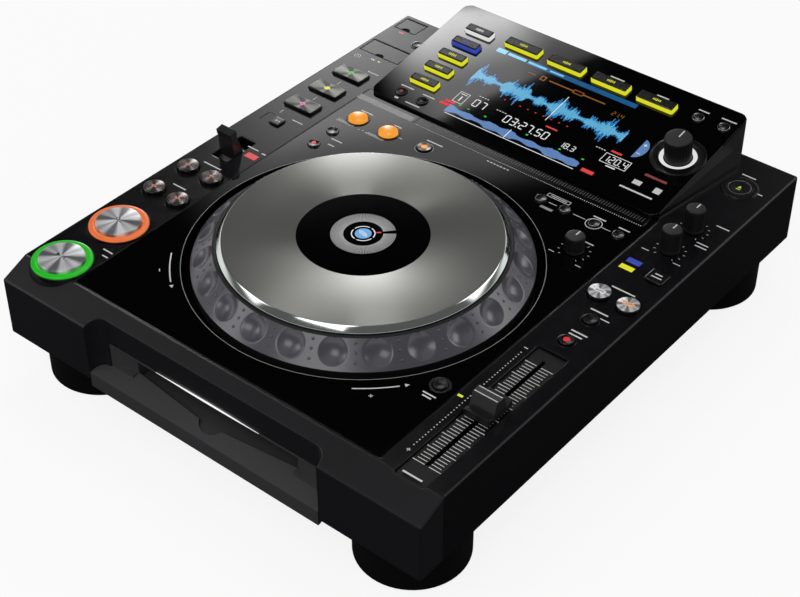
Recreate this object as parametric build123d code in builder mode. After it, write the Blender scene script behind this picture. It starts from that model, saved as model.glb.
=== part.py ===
from build123d import *
import os
from math import cos, radians, sin

os.makedirs("parts", exist_ok=True)

# Tabletop disc player with a jog wheel, millimetres. X runs to the right, Y from the player's
# side to the back, Z up. The origin is on the table, under the middle of the whole player.

# ---- case -----------------------------------------------------------------------------------
display_overhang = 12
foot_height = 31
side_height = 48
front_drop = 8
slope_depth = 19
wall = 3
top_thickness = 4
edge_radius = 1.5
seat_gap = 0.3
ledge = 4

case_bottom = foot_height
deck = case_bottom + side_height
deck_under = deck - top_thickness
deck_plane = Plane.XY.offset(deck)

# ---- front recess and disc mouth --------------------------------------------------------------
disc_radius = 60
mouth_side_gap = 2.5
cheek_width = 18
recess_side = 9
recess_depth = 9.5
recess_corner = 8.5
mouth_half_width = disc_radius + mouth_side_gap
mouth_height = 27
cheek_half_width = mouth_half_width + cheek_width
recess_half_width = cheek_half_width + recess_side
lip_drop = 5
lip_rise = 5.6
ramp_rise = 11
ramp_depth = 14.5
ramp_middle_depth = 9
lip_depth = 30
lip_skin = 2.4
lintel_height = 2
mouth_floor_rise = 7
finger_notch_radius = 10
mouth_top = case_bottom + mouth_height

# ---- transport buttons, the widest things on the side strips ------------------------------------
transport_cap_radius = 14.2
transport_cap_rise = 3.8
light_ring_gap = 0.7
light_ring_width = 3.6
light_ring_rise = 2.2
collar_width = 0.9
collar_rise = 1
collar_depth = 8
collar_inner_gap = 0.3
collar_outer_gap = 3.9
light_ring_inner = transport_cap_radius + light_ring_gap
light_ring_outer = light_ring_inner + light_ring_width
collar_radius = light_ring_outer + collar_width
strip_width = 2 * collar_radius + collar_inner_gap + collar_outer_gap

# ---- deck panel and jog bowl: the case is as wide and as deep as what stands on it ---------------
panel_thickness = 2
panel_front_gap = 1.3
panel_corner = 1.5
bowl_radius = 109.3
bowl_flare = 2.5
bowl_depth = 8
bowl_skin = 2
bowl_side_margin = 7.4
bowl_front_margin = 15.2
bowl_back_margin = 32.9
panel_under_display = 3
display_seat_depth = 97
bowl_floor_radius = bowl_radius - bowl_flare
panel_half_width = bowl_radius + bowl_side_margin
half_width = panel_half_width + seat_gap + strip_width
panel_front_offset = slope_depth + panel_front_gap
jog_from_front = panel_front_offset + bowl_front_margin + bowl_radius
display_from_front = jog_from_front + bowl_radius + bowl_back_margin
panel_back_offset = display_from_front + panel_under_display
case_depth = display_from_front + display_seat_depth
overall_depth = case_depth + display_overhang
front = -overall_depth / 2
back = front + case_depth
panel_front = front + panel_front_offset
panel_back = front + panel_back_offset
jog_y = front + jog_from_front
jog_axis = Axis((0, jog_y, 0), (0, 0, 1))
jog_section = Plane(origin=(0, jog_y, deck), x_dir=(1, 0, 0), z_dir=(0, -1, 0))

# ---- jog wheel, heights from the deck -------------------------------------------------------------
ring_side_gap = 3.3
ring_flank = 13.7
ring_radius = bowl_floor_radius - ring_side_gap
ring_top_radius = ring_radius - ring_flank
ring_foot = -6.5
ring_shoulder = 0.2
ring_crest = 13.2
ring_top = 13.6
ring_wall_radial = 3.1
ring_wall_height = 3.3
web_top = 9.9
web_thickness = 2.5
hub_radius = 33
post_radius = 30
running_gap = 0.05
plate_step = 2.45
plate_radius = ring_top_radius - plate_step
plate_rim = 1.05
plate_bevel = 2.55
plate_top = 18
plate_skin = 2
plate_overhang = 5.35
plate_seat_radius = plate_radius - plate_overhang
window_radius = 39.95
window_thickness = 1.2
window_ledge = 1.5
dimple_count = 24
dimple_inset = 7.9
dimple_circle = ring_radius - dimple_inset
dimple_radius = 8.3
dimple_depth = 2.6

# ---- display, on a plane tilted back ---------------------------------------------------------------
display_front_rise = 2
display_tilt = 9.6
display_inset = 2.1
display_half_width = panel_half_width - display_inset
glass_thickness = 2
glass_corner = 6
housing_inset = 1.2
housing_wall = 1.6
housing_front_gap = 2.4
housing_drop = 18
housing_floor = 2
opening_inset = 7
tilt_sin = sin(radians(display_tilt))
tilt_cos = cos(radians(display_tilt))
display_front = front + display_from_front
display_plane = Plane(
    origin=(0, display_front, deck + display_front_rise),
    x_dir=(1, 0, 0),
    z_dir=(0, -tilt_sin, tilt_cos),
)
glass_length = (overall_depth - display_from_front - glass_thickness * tilt_sin) / tilt_cos
housing_half_width = display_half_width - housing_inset
housing_front = display_front + housing_front_gap
source_key_inset = 28.1
source_key_width = 21.5
source_key_depth = 7.6
source_key_first = 25.3
source_key_pitch = 15.5
browse_key_gap = 7.9
browse_key_margin = 1.55
browse_key_end_margin = 4.75
browse_key_depth = 8.4
browse_key_inset = 20.6
selector_inset = 17.6
source_key_x = source_key_inset - display_half_width
browse_key_height = glass_length - browse_key_inset
selector_x = display_half_width - selector_inset
screen_gap = 9.75
screen_side_gap = 21
screen_near = 7.5
screen_far_gap = 2.4
screen_depth = 5
screen_left = source_key_x + source_key_width / 2 + screen_gap
screen_right = selector_x - screen_side_gap
screen_far = browse_key_height - browse_key_depth / 2 - screen_far_gap
browse_keys_length = screen_right - screen_left - browse_key_margin - browse_key_end_margin
browse_key_width = (browse_keys_length - 3 * browse_key_gap) / 4
browse_key_first = screen_left + browse_key_margin + browse_key_width / 2

# ---- touch strip in front of the display -------------------------------------------------------------
needle_left_inset = 48.7
needle_right_inset = 4.7
needle_width = 9
needle_thickness = 1.2
needle_sink = 0.15
needle_display_gap = 0.9
needle_left = needle_left_inset - panel_half_width
needle_right = panel_half_width - needle_right_inset
needle_y = display_front - needle_display_gap - needle_width / 2

# ---- push buttons: distances are from the front face unless named otherwise ----------------------------------
button_gap = 0.35
button_skirt = 1
skirt_thickness = 1
skirt_drop = 0.3
cap_edge = 0.6
strip_shift = 0.2
transport_shift = 1.6
play_front_gap = 8.6
cue_pitch = 46.4
search_pitch = 40.3
track_pitch = 30.3
lever_behind_jog = 34.2
sync_behind_jog = 60.5
slider_from_front = 84.9
slider_travel = 50
slider_plate_near = 17.1
slider_plate_far = 10.7
tempo_first_gap = 12.9
tempo_pitch = 23.7
hot_cue_pitch = 24.9
hot_cue_behind_display = 8.1
record_gap = 25.6
jog_mode_before_display = 48.1
knob_behind_display = 6.2
knob_pitch = 26.6
eject_from_back = 35.5
usb_stop_from_back = 29.1
strip_x = half_width - strip_width / 2 - strip_shift
transport_x = strip_x - transport_shift
play_from_front = collar_radius + play_front_gap
cue_from_front = play_from_front + cue_pitch
search_from_front = cue_from_front + search_pitch
track_from_front = search_from_front + track_pitch
slider_plate_front = slider_from_front - slider_travel - slider_plate_near
slider_plate_back = slider_from_front + slider_travel + slider_plate_far
tempo_from_front = slider_plate_back + tempo_first_gap
lever_from_front = jog_from_front + lever_behind_jog
sync_from_front = jog_from_front + sync_behind_jog
hot_cue_from_front = display_from_front + hot_cue_behind_display
record_from_front = hot_cue_from_front - 2 * hot_cue_pitch - record_gap
jog_mode_from_front = display_from_front - jog_mode_before_display
knob_from_front = display_from_front + knob_behind_display
eject_from_front = case_depth - eject_from_back
usb_stop_from_front = case_depth - usb_stop_from_back
# left and right button of a pair, from the middle of the strip
search_shifts = (-8.6, 12)
sync_shift = -9.5
master_shift = 10.4
jog_mode_shift = 8.8
eject_shift = -0.5
usb_stop_shift = 10.8


def strip_spot(side, distance, shift=0):
    """Centre of a control on the left (-1) or right (1) strip."""
    return (side * strip_x + shift, front + distance)


def deck_spot(side, inset, before_display):
    """Centre of a control on the deck panel, from its side edge and the display's front edge."""
    return (side * (panel_half_width - inset), display_front - before_display)


play_spot = (-transport_x, front + play_from_front)
cue_spot = (-transport_x, front + cue_from_front)
reset_before_jog = 60.3
reset_before_display = display_from_front - jog_from_front + reset_before_jog

# name: (centres, radius, height above the surface)
strip_buttons = {
    "search_buttons": ([strip_spot(-1, search_from_front, shift) for shift in search_shifts], 7.2, 2.6),
    "track_buttons": ([strip_spot(-1, track_from_front, shift) for shift in search_shifts], 7.2, 2.6),
    "usb_stop_button": ([strip_spot(-1, usb_stop_from_front, usb_stop_shift)], 3.4, 1.2),
    "eject_button": ([strip_spot(1, eject_from_front, eject_shift)], 7.6, 1),
    "sync_button": ([strip_spot(1, sync_from_front, sync_shift)], 7.2, 2.6),
    "master_button": ([strip_spot(1, sync_from_front, master_shift)], 7.2, 2.6),
    "tempo_buttons": (
        [strip_spot(1, tempo_from_front + tempo_pitch), strip_spot(1, tempo_from_front)],
        4.5,
        1.8,
    ),
}
deck_buttons = {
    "loop_in_button": ([deck_spot(-1, 17.5, 30.4)], 6.6, 3),
    "loop_out_button": ([deck_spot(-1, 43.5, 30.4)], 6.6, 3),
    "reloop_button": ([deck_spot(-1, 72.8, 29.2)], 5, 1.4),
    "slip_loop_buttons": ([deck_spot(-1, 14.1, 52.3), deck_spot(-1, 14.1, 71)], 4, 1.6),
    "cue_memory_buttons": (
        [deck_spot(1, 69.5, 26.4), deck_spot(1, 51.3, 26.4), deck_spot(1, 29.1, 27.2), deck_spot(1, 11.3, 27.2)],
        3.6,
        1.2,
    ),
    "tempo_reset_button": ([deck_spot(1, 10.6, reset_before_display)], 4.2, 1.2),
}
# name: (centres on the glass, radius, height above the glass)
display_buttons = {
    "menu_buttons": (
        [
            (source_key_x - 8.1, 9.6),
            (source_key_x + 10.1, 9.2),
            (selector_x - 9.6, browse_key_height + 2.2),
            (selector_x + 9.2, browse_key_height + 2.8),
        ],
        4,
        1,
    ),
}
# name: (centre, width, depth, height above the surface)
strip_pads = {
    "hot_cue_pad_a": (strip_spot(-1, hot_cue_from_front - 2 * hot_cue_pitch), 24, 12.4, 2),
    "hot_cue_pad_b": (strip_spot(-1, hot_cue_from_front - hot_cue_pitch), 24, 12.4, 2),
    "hot_cue_pad_c": (strip_spot(-1, hot_cue_from_front), 24, 12.4, 2),
    "record_mode_button": (strip_spot(-1, record_from_front), 8, 8, 1.4),
    "jog_mode_button": (strip_spot(1, jog_mode_from_front, jog_mode_shift), 12, 11.6, 1.6),
}
source_key_names = ["disc_key", "sd_key", "usb_key", "computer_key", "link_key"]
source_keys = {
    name: (
        [(source_key_x, source_key_first + number * source_key_pitch)],
        source_key_width,
        source_key_depth,
    )
    for number, name in enumerate(source_key_names)
}
browse_places = [
    (browse_key_first + (browse_key_width + browse_key_gap) * number, browse_key_height) for number in range(4)
]
# name: (centres on the glass, width, depth)
display_keys = {**source_keys, "browse_keys": (browse_places, browse_key_width, browse_key_depth)}
key_rise = 3.2
pad_corner = 1.2

# ---- knobs, lever and slider --------------------------------------------------------------------------
knob_shaft_radius = 3
shaft_gap = 0.1
shaft_below = 8
knob_lift = 0.8
pointer_width = 1
pointer_depth = 0.5
# name: (centre, radius, height)
strip_knobs = {
    "touch_brake_knob": (strip_spot(1, knob_from_front), 6.3, 15.7),
    "release_start_knob": (strip_spot(1, knob_from_front - knob_pitch), 6.3, 15.7),
}
jog_adjust_spot = deck_spot(1, 22.8, 57)
jog_adjust_radius = 6.2
jog_adjust_height = 11
selector_up_glass = 53
selector_spot = (selector_x, selector_up_glass)
selector_radius = 9
selector_height = 16.2

lever_shift = -0.7
lever_spot = strip_spot(-1, lever_from_front, lever_shift)
lever_pivot_depth = 14
lever_tilt = 10.5
lever_length = 32.5
lever_half_width = 6.2
lever_drum_radius = 13.2
lever_slot_gap = 0.6
lever_bar_height = 4
lever_bar_half_depth = 2.8
lever_blade_top = 2.2
lever_blade_foot = 6
lever_slot_half_length = 13.8

slider_plate_width = 20
slider_plate_sink = 1.2
slider_plate_thickness = 1.5
slider_plate_ledge = 1.2
slider_stem_width = 1.6
slider_stem_length = 4
slider_slot_gap = 0.5
slider_cap_width = 16.5
slider_cap_length = 22
slider_cap_height = 11.5
slider_ridge_length = 6
slider_wing_height = 4.5
slider_cap_lift = 0.5
slider_stem_depth = 12
slider_y = front + slider_from_front

# ---- media doors ---------------------------------------------------------------------------------------
door_thickness = 2
door_pin_radius = 0.6
door_pin_length = 1
door_pin_gap = 0.06
door_scoop_radius = 3.4
door_side_margin = 4
usb_door_width = 18
sd_door_width = 33.6
usb_door_depth = 14.6
sd_door_depth = 16.4
door_pitch = 37
well_depth_below = 9
well_skin = 1.4
door_left = door_side_margin - half_width
usb_door_far = case_depth - wall - well_skin - button_gap
sd_door_far = usb_door_far - door_pitch
# name: (left X, right X, front edge, hinge edge), the last two from the front face
doors = {
    "usb_door": (door_left, door_left + usb_door_width, usb_door_far - usb_door_depth, usb_door_far),
    "sd_door": (door_left, door_left + sd_door_width, sd_door_far - sd_door_depth, sd_door_far),
}
media_socket_wall = 0.5
# name: (width, depth, length down from the floor of the well)
media_sockets = {
    "usb_door": (13.2, 5.8, 14),
    "sd_door": (26, 3.8, 18),
}

# ---- base, feet and screws -------------------------------------------------------------------------------
base_thickness = 2
base_gap = 0.3
well_front = 36
well_back_margin = 12
well_depth = 17
well_foot_gap = 5.55
foot_radius = 33.75
foot_side_margin = 2.95
foot_front_margin = 5.65
foot_back_margin = 3.55
foot_x = half_width - foot_side_margin - foot_radius
foot_front = foot_front_margin + foot_radius
foot_back = case_depth - foot_back_margin - foot_radius
well_half_width = foot_x - foot_radius - well_foot_gap
well_back = case_depth - well_back_margin
foot_chamfer = 1.6
foot_screw_radius = 7
foot_screw_depth = 20
screw_places = (92, 197, case_depth - 84)
screw_radius = 1.5
screw_hole_gap = 0.3
screw_head_radius = 2.6
screw_head_height = 1.7
screw_length = 14
boss_radius = 4
boss_bite = 1.2
boss_height = 26
vent_width = 3
vent_length = 60
vent_pitch = 9
vent_count = 9
well_floor = case_bottom - well_depth
base_top = case_bottom + base_thickness
screw_x = half_width - wall - boss_radius + boss_bite

# ---- disc drive ---------------------------------------------------------------------------------------------
drive_side_gap = 9.5
drive_front_gap = 0.4
drive_end_gap = 4.4
drive_base_gap = 1
drive_roof_gap = 3
drive_skin = 1.5
drive_slot_rise = 6
drive_slot_drop = 2
drive_half_width = mouth_half_width + drive_side_gap
drive_bottom = base_top + drive_base_gap
drive_top = deck - bowl_depth - 2 * bowl_skin - drive_roof_gap
drive_slot_low = drive_bottom + drive_slot_rise
drive_slot_high = mouth_top - drive_slot_drop
drive_leg_radius = 4
drive_leg_inset = 8
disc_rise = 19
disc_height = case_bottom + disc_rise
roller_radius = 4.5
roller_half_length = disc_radius
roller_behind_lip = 10
roller_shaft_radius = 1.5
roller_shaft_end_gap = 0.6
roller_shaft_half = drive_half_width - roller_shaft_end_gap
roller_from_front = lip_depth + roller_behind_lip
spindle_behind_lip = 71
spindle_from_front = lip_depth + spindle_behind_lip
spindle_radius = 14
spindle_rim = 3
spindle_cone_radius = 7.4
spindle_shaft_radius = 1.5
spindle_boss_radius = 6
spindle_boss_height = 9
rod_radius = 1.5
rod_x = 17
rod_rise = 6
rod_behind_spindle = 17
rod_height = drive_bottom + rod_rise
rod_start = spindle_from_front + rod_behind_spindle
rod_length = 60
rod_block = 6
sled_width = 44
sled_depth = 20
sled_height = 7
sled_behind_spindle = 34
sled_from_front = spindle_from_front + sled_behind_spindle
lens_radius = 3.2
lens_rise = 4
drive_front = front + lip_depth + drive_front_gap
drive_back = front + rod_start + rod_length + rod_block + drive_end_gap

# ---- boards -----------------------------------------------------------------------------------------------
board_thickness = 1.6
board_standoff = 8
board_height = well_floor + base_thickness + board_standoff
board_behind_drive = 13.6
board_back_gap = 4
board_left_gap = 2
board_right_gap = 1
board_pitch_gap = 7
supply_width = 42
well_inside = well_half_width - base_thickness
board_near = drive_back + board_behind_drive
board_far = front + well_back - base_thickness - board_back_gap
board_length = board_far - board_near
board_y = (board_near + board_far) / 2
main_board_width = 2 * well_inside - board_left_gap - board_right_gap - board_pitch_gap - supply_width
main_board_centre = (board_left_gap - well_inside + main_board_width / 2, board_y)
main_board_size = (main_board_width, board_length)
supply_centre = (well_inside - board_right_gap - supply_width / 2, board_y)
supply_size = (supply_width, board_length)

# ---- rear sockets and power switch -------------------------------------------------------------------------
socket_rise = 15
socket_height = case_bottom + socket_rise
inlet_inset = 40
inlet_x = half_width - inlet_inset
inlet_width = 30
inlet_height = 22
inlet_cavity = (24.5, 17)
inlet_depth = 22
inlet_pin_length = 12
network_pitch = 50
network_x = inlet_x - network_pitch
network_size = (17, 14)
network_cavity = (12, 8.6)
network_depth = 14
computer_pitch = 24
computer_port_x = network_x - computer_pitch
computer_port_size = (13, 12)
computer_port_cavity = (9, 8.4)
computer_port_depth = 15
computer_port_tongue = (5.6, 3.2, 8)
control_pitch = 28
control_jack_x = computer_port_x - control_pitch
control_jack_radius = 5
control_jack_bore = 1.8
control_jack_depth = 14
phono_inset = 80
phono_pitch = 18
digital_pitch = 32
phono_right_x = phono_inset - half_width
phono_places = (
    phono_right_x + phono_pitch + digital_pitch,
    phono_right_x + phono_pitch,
    phono_right_x,
)
phono_radius = 4.15
phono_bore = 1.7
phono_length = 8.5
phono_flange_radius = 6.4
phono_flange = 1.5
phono_body_radius = 5
phono_body_depth = 12
socket_gap = 0.2
power_inset = 14
power_rise_up = 31
power_x = half_width - power_inset
power_height = case_bottom + power_rise_up
power_radius = 5
power_rise = 3
power_inner = 5


def save(builder, name):
    """Label a finished piece and write it to its own file."""
    builder.part.label = name
    export_step(builder.part, f"parts/{name}.step")


def outline(*points):
    """Closed face through the given corners, on the sketch that is open."""
    with BuildLine() as boundary:
        Polyline(*points, close=True)
    make_face(boundary.edges())


def block(low, high, mode=Mode.ADD):
    """Rectangular block between two opposite corners, in the part that is open."""
    with BuildSketch(Plane.XY.offset(low[2])) as base:
        with Locations(((low[0] + high[0]) / 2, (low[1] + high[1]) / 2)):
            Rectangle(high[0] - low[0], high[1] - low[1])
    extrude(base.sketch, amount=high[2] - low[2], mode=mode)


def round_holes(surface, spots, radius, depth):
    """Round holes down from a surface, in the part that is open."""
    with BuildSketch(surface) as holes:
        with Locations(*spots):
            Circle(radius)
    extrude(holes.sketch, amount=-depth, mode=Mode.SUBTRACT)


def slot_holes(surface, spots, width, depth_y, corner, depth):
    """Rectangular holes with rounded corners, down from a surface, in the part that is open."""
    with BuildSketch(surface) as holes:
        with Locations(*spots):
            RectangleRounded(width, depth_y, corner)
    extrude(holes.sketch, amount=-depth, mode=Mode.SUBTRACT)


def round_button(name, surface, skin, spots, radius, rise):
    """Round push caps through a skin, each with a skirt under it that keeps it in."""
    up = Axis(surface.origin, surface.z_dir)
    with BuildPart() as button:
        with BuildSketch(surface.offset(rise)):
            with Locations(*spots):
                Circle(radius)
        extrude(amount=-(rise + skin + skirt_drop + skirt_thickness))
        fillet(button.faces().group_by(up)[-1].edges(), cap_edge)
        with BuildSketch(surface.offset(-skin - skirt_drop)):
            with Locations(*spots):
                Circle(radius + button_skirt)
        extrude(amount=-skirt_thickness)
    save(button, name)


def pad_button(name, surface, skin, spots, width, depth_y, rise):
    """Rectangular push caps through a skin, each with a skirt under it that keeps it in."""
    up = Axis(surface.origin, surface.z_dir)
    with BuildPart() as pad:
        with BuildSketch(surface.offset(rise)):
            with Locations(*spots):
                RectangleRounded(width, depth_y, pad_corner)
        extrude(amount=-(rise + skin + skirt_drop + skirt_thickness))
        fillet(pad.faces().group_by(up)[-1].edges(), cap_edge)
        with BuildSketch(surface.offset(-skin - skirt_drop)):
            with Locations(*spots):
                Rectangle(width + 2 * button_skirt, depth_y + 2 * button_skirt)
        extrude(amount=-skirt_thickness)
    save(pad, name)


def knob(name, surface, skin, spot, radius, height):
    """Turned knob with a pointer groove, on a shaft that runs through the skin."""
    up = Axis(surface.origin, surface.z_dir)
    with BuildPart() as turned:
        with BuildSketch(surface.offset(knob_lift)):
            with Locations(spot):
                Circle(radius)
        extrude(amount=height, taper=1.5)
        fillet(turned.faces().group_by(up)[-1].edges(), cap_edge)
        with BuildSketch(surface.offset(knob_lift + height)):
            with Locations((spot[0], spot[1] + radius / 2)):
                Rectangle(pointer_width, radius)
        extrude(amount=-pointer_depth, mode=Mode.SUBTRACT)
        with BuildSketch(surface.offset(knob_lift)):
            with Locations(spot):
                Circle(knob_shaft_radius)
        extrude(amount=-(knob_lift + skin + shaft_below))
    save(turned, name)


def rear_plane(x, height):
    """Plane on the outside of the back wall, facing backwards."""
    return Plane(origin=(x, back, height), x_dir=(-1, 0, 0), z_dir=(0, 1, 0))


# ---- case shell: top strips, sides and sloped front, cut below into the upper case and the front panel ---------
def slope_under(distance):
    """Height of the underside of the sloped front, at a distance from the front face."""
    return deck_under - front_drop * (1 - distance / slope_depth)


with BuildPart() as case_shell:
    with BuildSketch(Plane.YZ):
        outline(
            (front, case_bottom),
            (front, deck - front_drop),
            (front + slope_depth, deck),
            (back, deck),
            (back, case_bottom),
        )
    extrude(amount=half_width, both=True)
    outer_edges = case_shell.edges().filter_by(lambda edge: edge.center().Z > case_bottom + wall)
    fillet(outer_edges, edge_radius)
    recess_back = recess_depth + wall
    with BuildSketch(Plane.YZ):
        outline(
            (front + recess_back, case_bottom),
            (front + recess_back, slope_under(recess_back)),
            (front + slope_depth, deck_under),
            (back, deck_under),
            (back, case_bottom),
        )
    extrude(amount=half_width - wall, both=True, mode=Mode.SUBTRACT)
    for side in (-1, 1):
        with BuildSketch(Plane.YZ.offset(side * (recess_half_width + wall))):
            outline(
                (front + wall, case_bottom),
                (front + wall, slope_under(wall)),
                (front + recess_back, slope_under(recess_back)),
                (front + recess_back, case_bottom),
            )
        extrude(amount=side * (half_width - recess_half_width - 2 * wall), mode=Mode.SUBTRACT)
    # the recess, open to the front and above
    with BuildSketch(Plane.XY.offset(case_bottom)) as recess:
        with Locations((0, front)):
            Rectangle(2 * recess_half_width, 2 * recess_depth)
        fillet(recess.vertices().group_by(Axis.Y)[-1], recess_corner)
    extrude(amount=side_height, mode=Mode.SUBTRACT)
    # the way for the disc and its lip, under the recess wall
    block(
        (-cheek_half_width, front + recess_depth / 2, case_bottom),
        (cheek_half_width, front + recess_back + wall, mouth_top),
        Mode.SUBTRACT,
    )
    # rebate and opening for the deck panel
    with BuildSketch(deck_plane):
        with Locations((0, (panel_front + panel_back) / 2)):
            RectangleRounded(
                2 * (panel_half_width + seat_gap),
                panel_back - panel_front + 2 * seat_gap,
                panel_corner + seat_gap,
            )
    extrude(amount=-panel_thickness, mode=Mode.SUBTRACT)
    block(
        (ledge - panel_half_width, panel_front + ledge, deck_under),
        (panel_half_width - ledge, panel_back - ledge, deck),
        Mode.SUBTRACT,
    )
    # opening under the display
    block(
        (opening_inset - housing_half_width, housing_front - seat_gap, deck_under),
        (housing_half_width - opening_inset, back - opening_inset, deck),
        Mode.SUBTRACT,
    )
    # raised ring round the eject button
    eject_spots, eject_radius, eject_rise = strip_buttons["eject_button"]
    with BuildSketch(deck_plane):
        with Locations(*eject_spots):
            Circle(eject_radius + button_gap + ledge)
    extrude(amount=eject_rise)
    fillet(case_shell.faces().group_by(Axis.Z)[-1].edges(), cap_edge)
    for spots, radius, rise in strip_buttons.values():
        round_holes(deck_plane.offset(rise), spots, radius + button_gap, rise + top_thickness)
    for spot, width, depth_y, _ in strip_pads.values():
        slot_holes(
            deck_plane,
            [spot],
            width + 2 * button_gap,
            depth_y + 2 * button_gap,
            pad_corner + button_gap,
            top_thickness,
        )
    round_holes(deck_plane, [play_spot, cue_spot], collar_radius + running_gap, 2 * collar_depth)
    knob_spots = [spot for spot, _, _ in strip_knobs.values()]
    round_holes(deck_plane, knob_spots, knob_shaft_radius + shaft_gap, top_thickness)
    slot_holes(
        deck_plane,
        [lever_spot],
        2 * (lever_half_width + lever_slot_gap),
        2 * lever_slot_half_length,
        pad_corner,
        top_thickness,
    )
    # seat of the slider plate
    plate_centre = (strip_x, front + (slider_plate_front + slider_plate_back) / 2)
    plate_length = slider_plate_back - slider_plate_front
    slot_holes(
        deck_plane,
        [plate_centre],
        slider_plate_width + 2 * seat_gap,
        plate_length + 2 * seat_gap,
        pad_corner,
        slider_plate_sink + slider_plate_thickness,
    )
    slot_holes(
        deck_plane,
        [plate_centre],
        slider_plate_width - 2 * slider_plate_ledge,
        plate_length - 2 * slider_plate_ledge,
        pad_corner,
        top_thickness,
    )
    # openings for the media doors, with bores for the doors' pins
    for left, right, near, far in doors.values():
        block(
            (left - button_gap, front + near - button_gap, deck_under),
            (right + button_gap, front + far + button_gap, deck),
            Mode.SUBTRACT,
        )
        pin_line = Plane.YZ.offset(left - button_gap - door_pin_length)
        with BuildSketch(pin_line):
            with Locations((front + far - door_thickness / 2, deck - door_thickness / 2)):
                Circle(door_pin_radius + door_pin_gap)
        extrude(amount=right - left + 2 * (button_gap + door_pin_length), mode=Mode.SUBTRACT)
    # screw bosses on the side walls
    boss_spots = [(side * screw_x, front + place) for side in (-1, 1) for place in screw_places]
    with BuildSketch(Plane.XY.offset(base_top)):
        with Locations(*boss_spots):
            Circle(boss_radius)
    extrude(amount=boss_height)
    with BuildSketch(Plane.XY.offset(base_top)):
        with Locations(*boss_spots):
            Circle(screw_radius + running_gap)
    extrude(amount=screw_length, mode=Mode.SUBTRACT)

slope_end = Plane(origin=(0, front + slope_depth, 0), x_dir=(1, 0, 0), z_dir=(0, -1, 0))
with BuildPart() as front_panel:
    add(case_shell.part)
    split(bisect_by=slope_end, keep=Keep.TOP)
save(front_panel, "front_panel")

with BuildPart() as upper_case:
    add(case_shell.part)
    split(bisect_by=slope_end, keep=Keep.BOTTOM)
save(upper_case, "upper_case")

# ---- rear panel: the back wall, between the sides and under the top ---------------------------------------------
with BuildPart() as rear_panel:
    block((wall - half_width, back - wall, case_bottom), (half_width - wall, back, deck_under))
    rear_holes = [
        (inlet_x, inlet_width, inlet_height),
        (network_x, *network_size),
        (computer_port_x, *computer_port_size),
    ]
    for x, width, height in rear_holes:
        with BuildSketch(rear_plane(x, socket_height)):
            Rectangle(width + 2 * socket_gap, height + 2 * socket_gap)
        extrude(amount=-wall, mode=Mode.SUBTRACT)
    jack_holes = [(x, phono_body_radius) for x in phono_places] + [(control_jack_x, control_jack_radius)]
    for x, radius in jack_holes:
        with BuildSketch(rear_plane(x, socket_height)):
            Circle(radius + socket_gap)
        extrude(amount=-wall, mode=Mode.SUBTRACT)
    with BuildSketch(rear_plane(power_x, power_height)):
        Circle(power_radius + button_gap)
    extrude(amount=-wall, mode=Mode.SUBTRACT)
save(rear_panel, "rear_panel")

# ---- media wells: a tray under each door, with its socket's shell below the floor ---------------------------------
with BuildPart() as media_wells:
    for name, (left, right, near, far) in doors.items():
        socket_width, socket_depth, socket_length = media_sockets[name]
        well_left = max(left - button_gap - well_skin, wall - half_width)
        well_floor_plane = deck_plane.offset(well_skin - well_depth_below)
        well_centre = ((left + right) / 2, front + (near + far) / 2)
        block(
            (well_left, front + near - button_gap - well_skin, deck - well_depth_below),
            (right + button_gap + well_skin, front + far + button_gap + well_skin, deck_under),
        )
        block(
            (left - button_gap, front + near - button_gap, deck - well_depth_below + well_skin),
            (right + button_gap, front + far + button_gap, deck_under),
            Mode.SUBTRACT,
        )
        with BuildSketch(well_floor_plane):
            with Locations(well_centre):
                Rectangle(socket_width, socket_depth)
        extrude(amount=-socket_length)
        with BuildSketch(well_floor_plane):
            with Locations(well_centre):
                Rectangle(socket_width - 2 * media_socket_wall, socket_depth - 2 * media_socket_wall)
        extrude(amount=media_socket_wall - socket_length, mode=Mode.SUBTRACT)
save(media_wells, "media_wells")

# ---- base pan: floor plate with a deep well for the drive and the boards --------------------------------------
with BuildPart() as base_pan:
    block(
        (base_gap + wall - half_width, front + wall + base_gap, case_bottom),
        (half_width - wall - base_gap, back - wall - base_gap, base_top),
    )
    block(
        (-recess_half_width - wall - base_gap, front, case_bottom),
        (recess_half_width + wall + base_gap, front + lip_depth + base_gap, base_top),
        Mode.SUBTRACT,
    )
    block(
        (-well_half_width, front + well_front, well_floor),
        (well_half_width, front + well_back, base_top),
    )
    well_edges = base_pan.edges().filter_by(lambda edge: edge.center().Z < case_bottom - 1)
    fillet(well_edges, edge_radius)
    block(
        (base_thickness - well_half_width, front + well_front + base_thickness, well_floor + base_thickness),
        (well_half_width - base_thickness, front + well_back - base_thickness, base_top),
        Mode.SUBTRACT,
    )
    with BuildSketch(Plane.XY.offset(well_floor)):
        with Locations((0, front + (well_front + well_back) / 2)):
            with GridLocations(vent_pitch, 1, vent_count, 1):
                SlotOverall(vent_length, vent_width, rotation=90)
    extrude(amount=base_thickness, mode=Mode.SUBTRACT)
    with BuildSketch(Plane.XY.offset(case_bottom)):
        with Locations(*boss_spots):
            Circle(screw_radius + screw_hole_gap)
    extrude(amount=base_thickness, mode=Mode.SUBTRACT)
save(base_pan, "base_pan")

foot_spots = [(side * foot_x, front + place) for side in (-1, 1) for place in (foot_front, foot_back)]
with BuildPart() as feet:
    with BuildSketch(Plane.XY):
        with Locations(*foot_spots):
            Circle(foot_radius)
    extrude(amount=foot_height)
    chamfer(feet.faces().group_by(Axis.Z)[0].edges(), foot_chamfer)
    with BuildSketch(Plane.XY):
        with Locations(*foot_spots):
            Circle(foot_screw_radius)
    extrude(amount=foot_screw_depth, mode=Mode.SUBTRACT)
save(feet, "feet")

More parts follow.
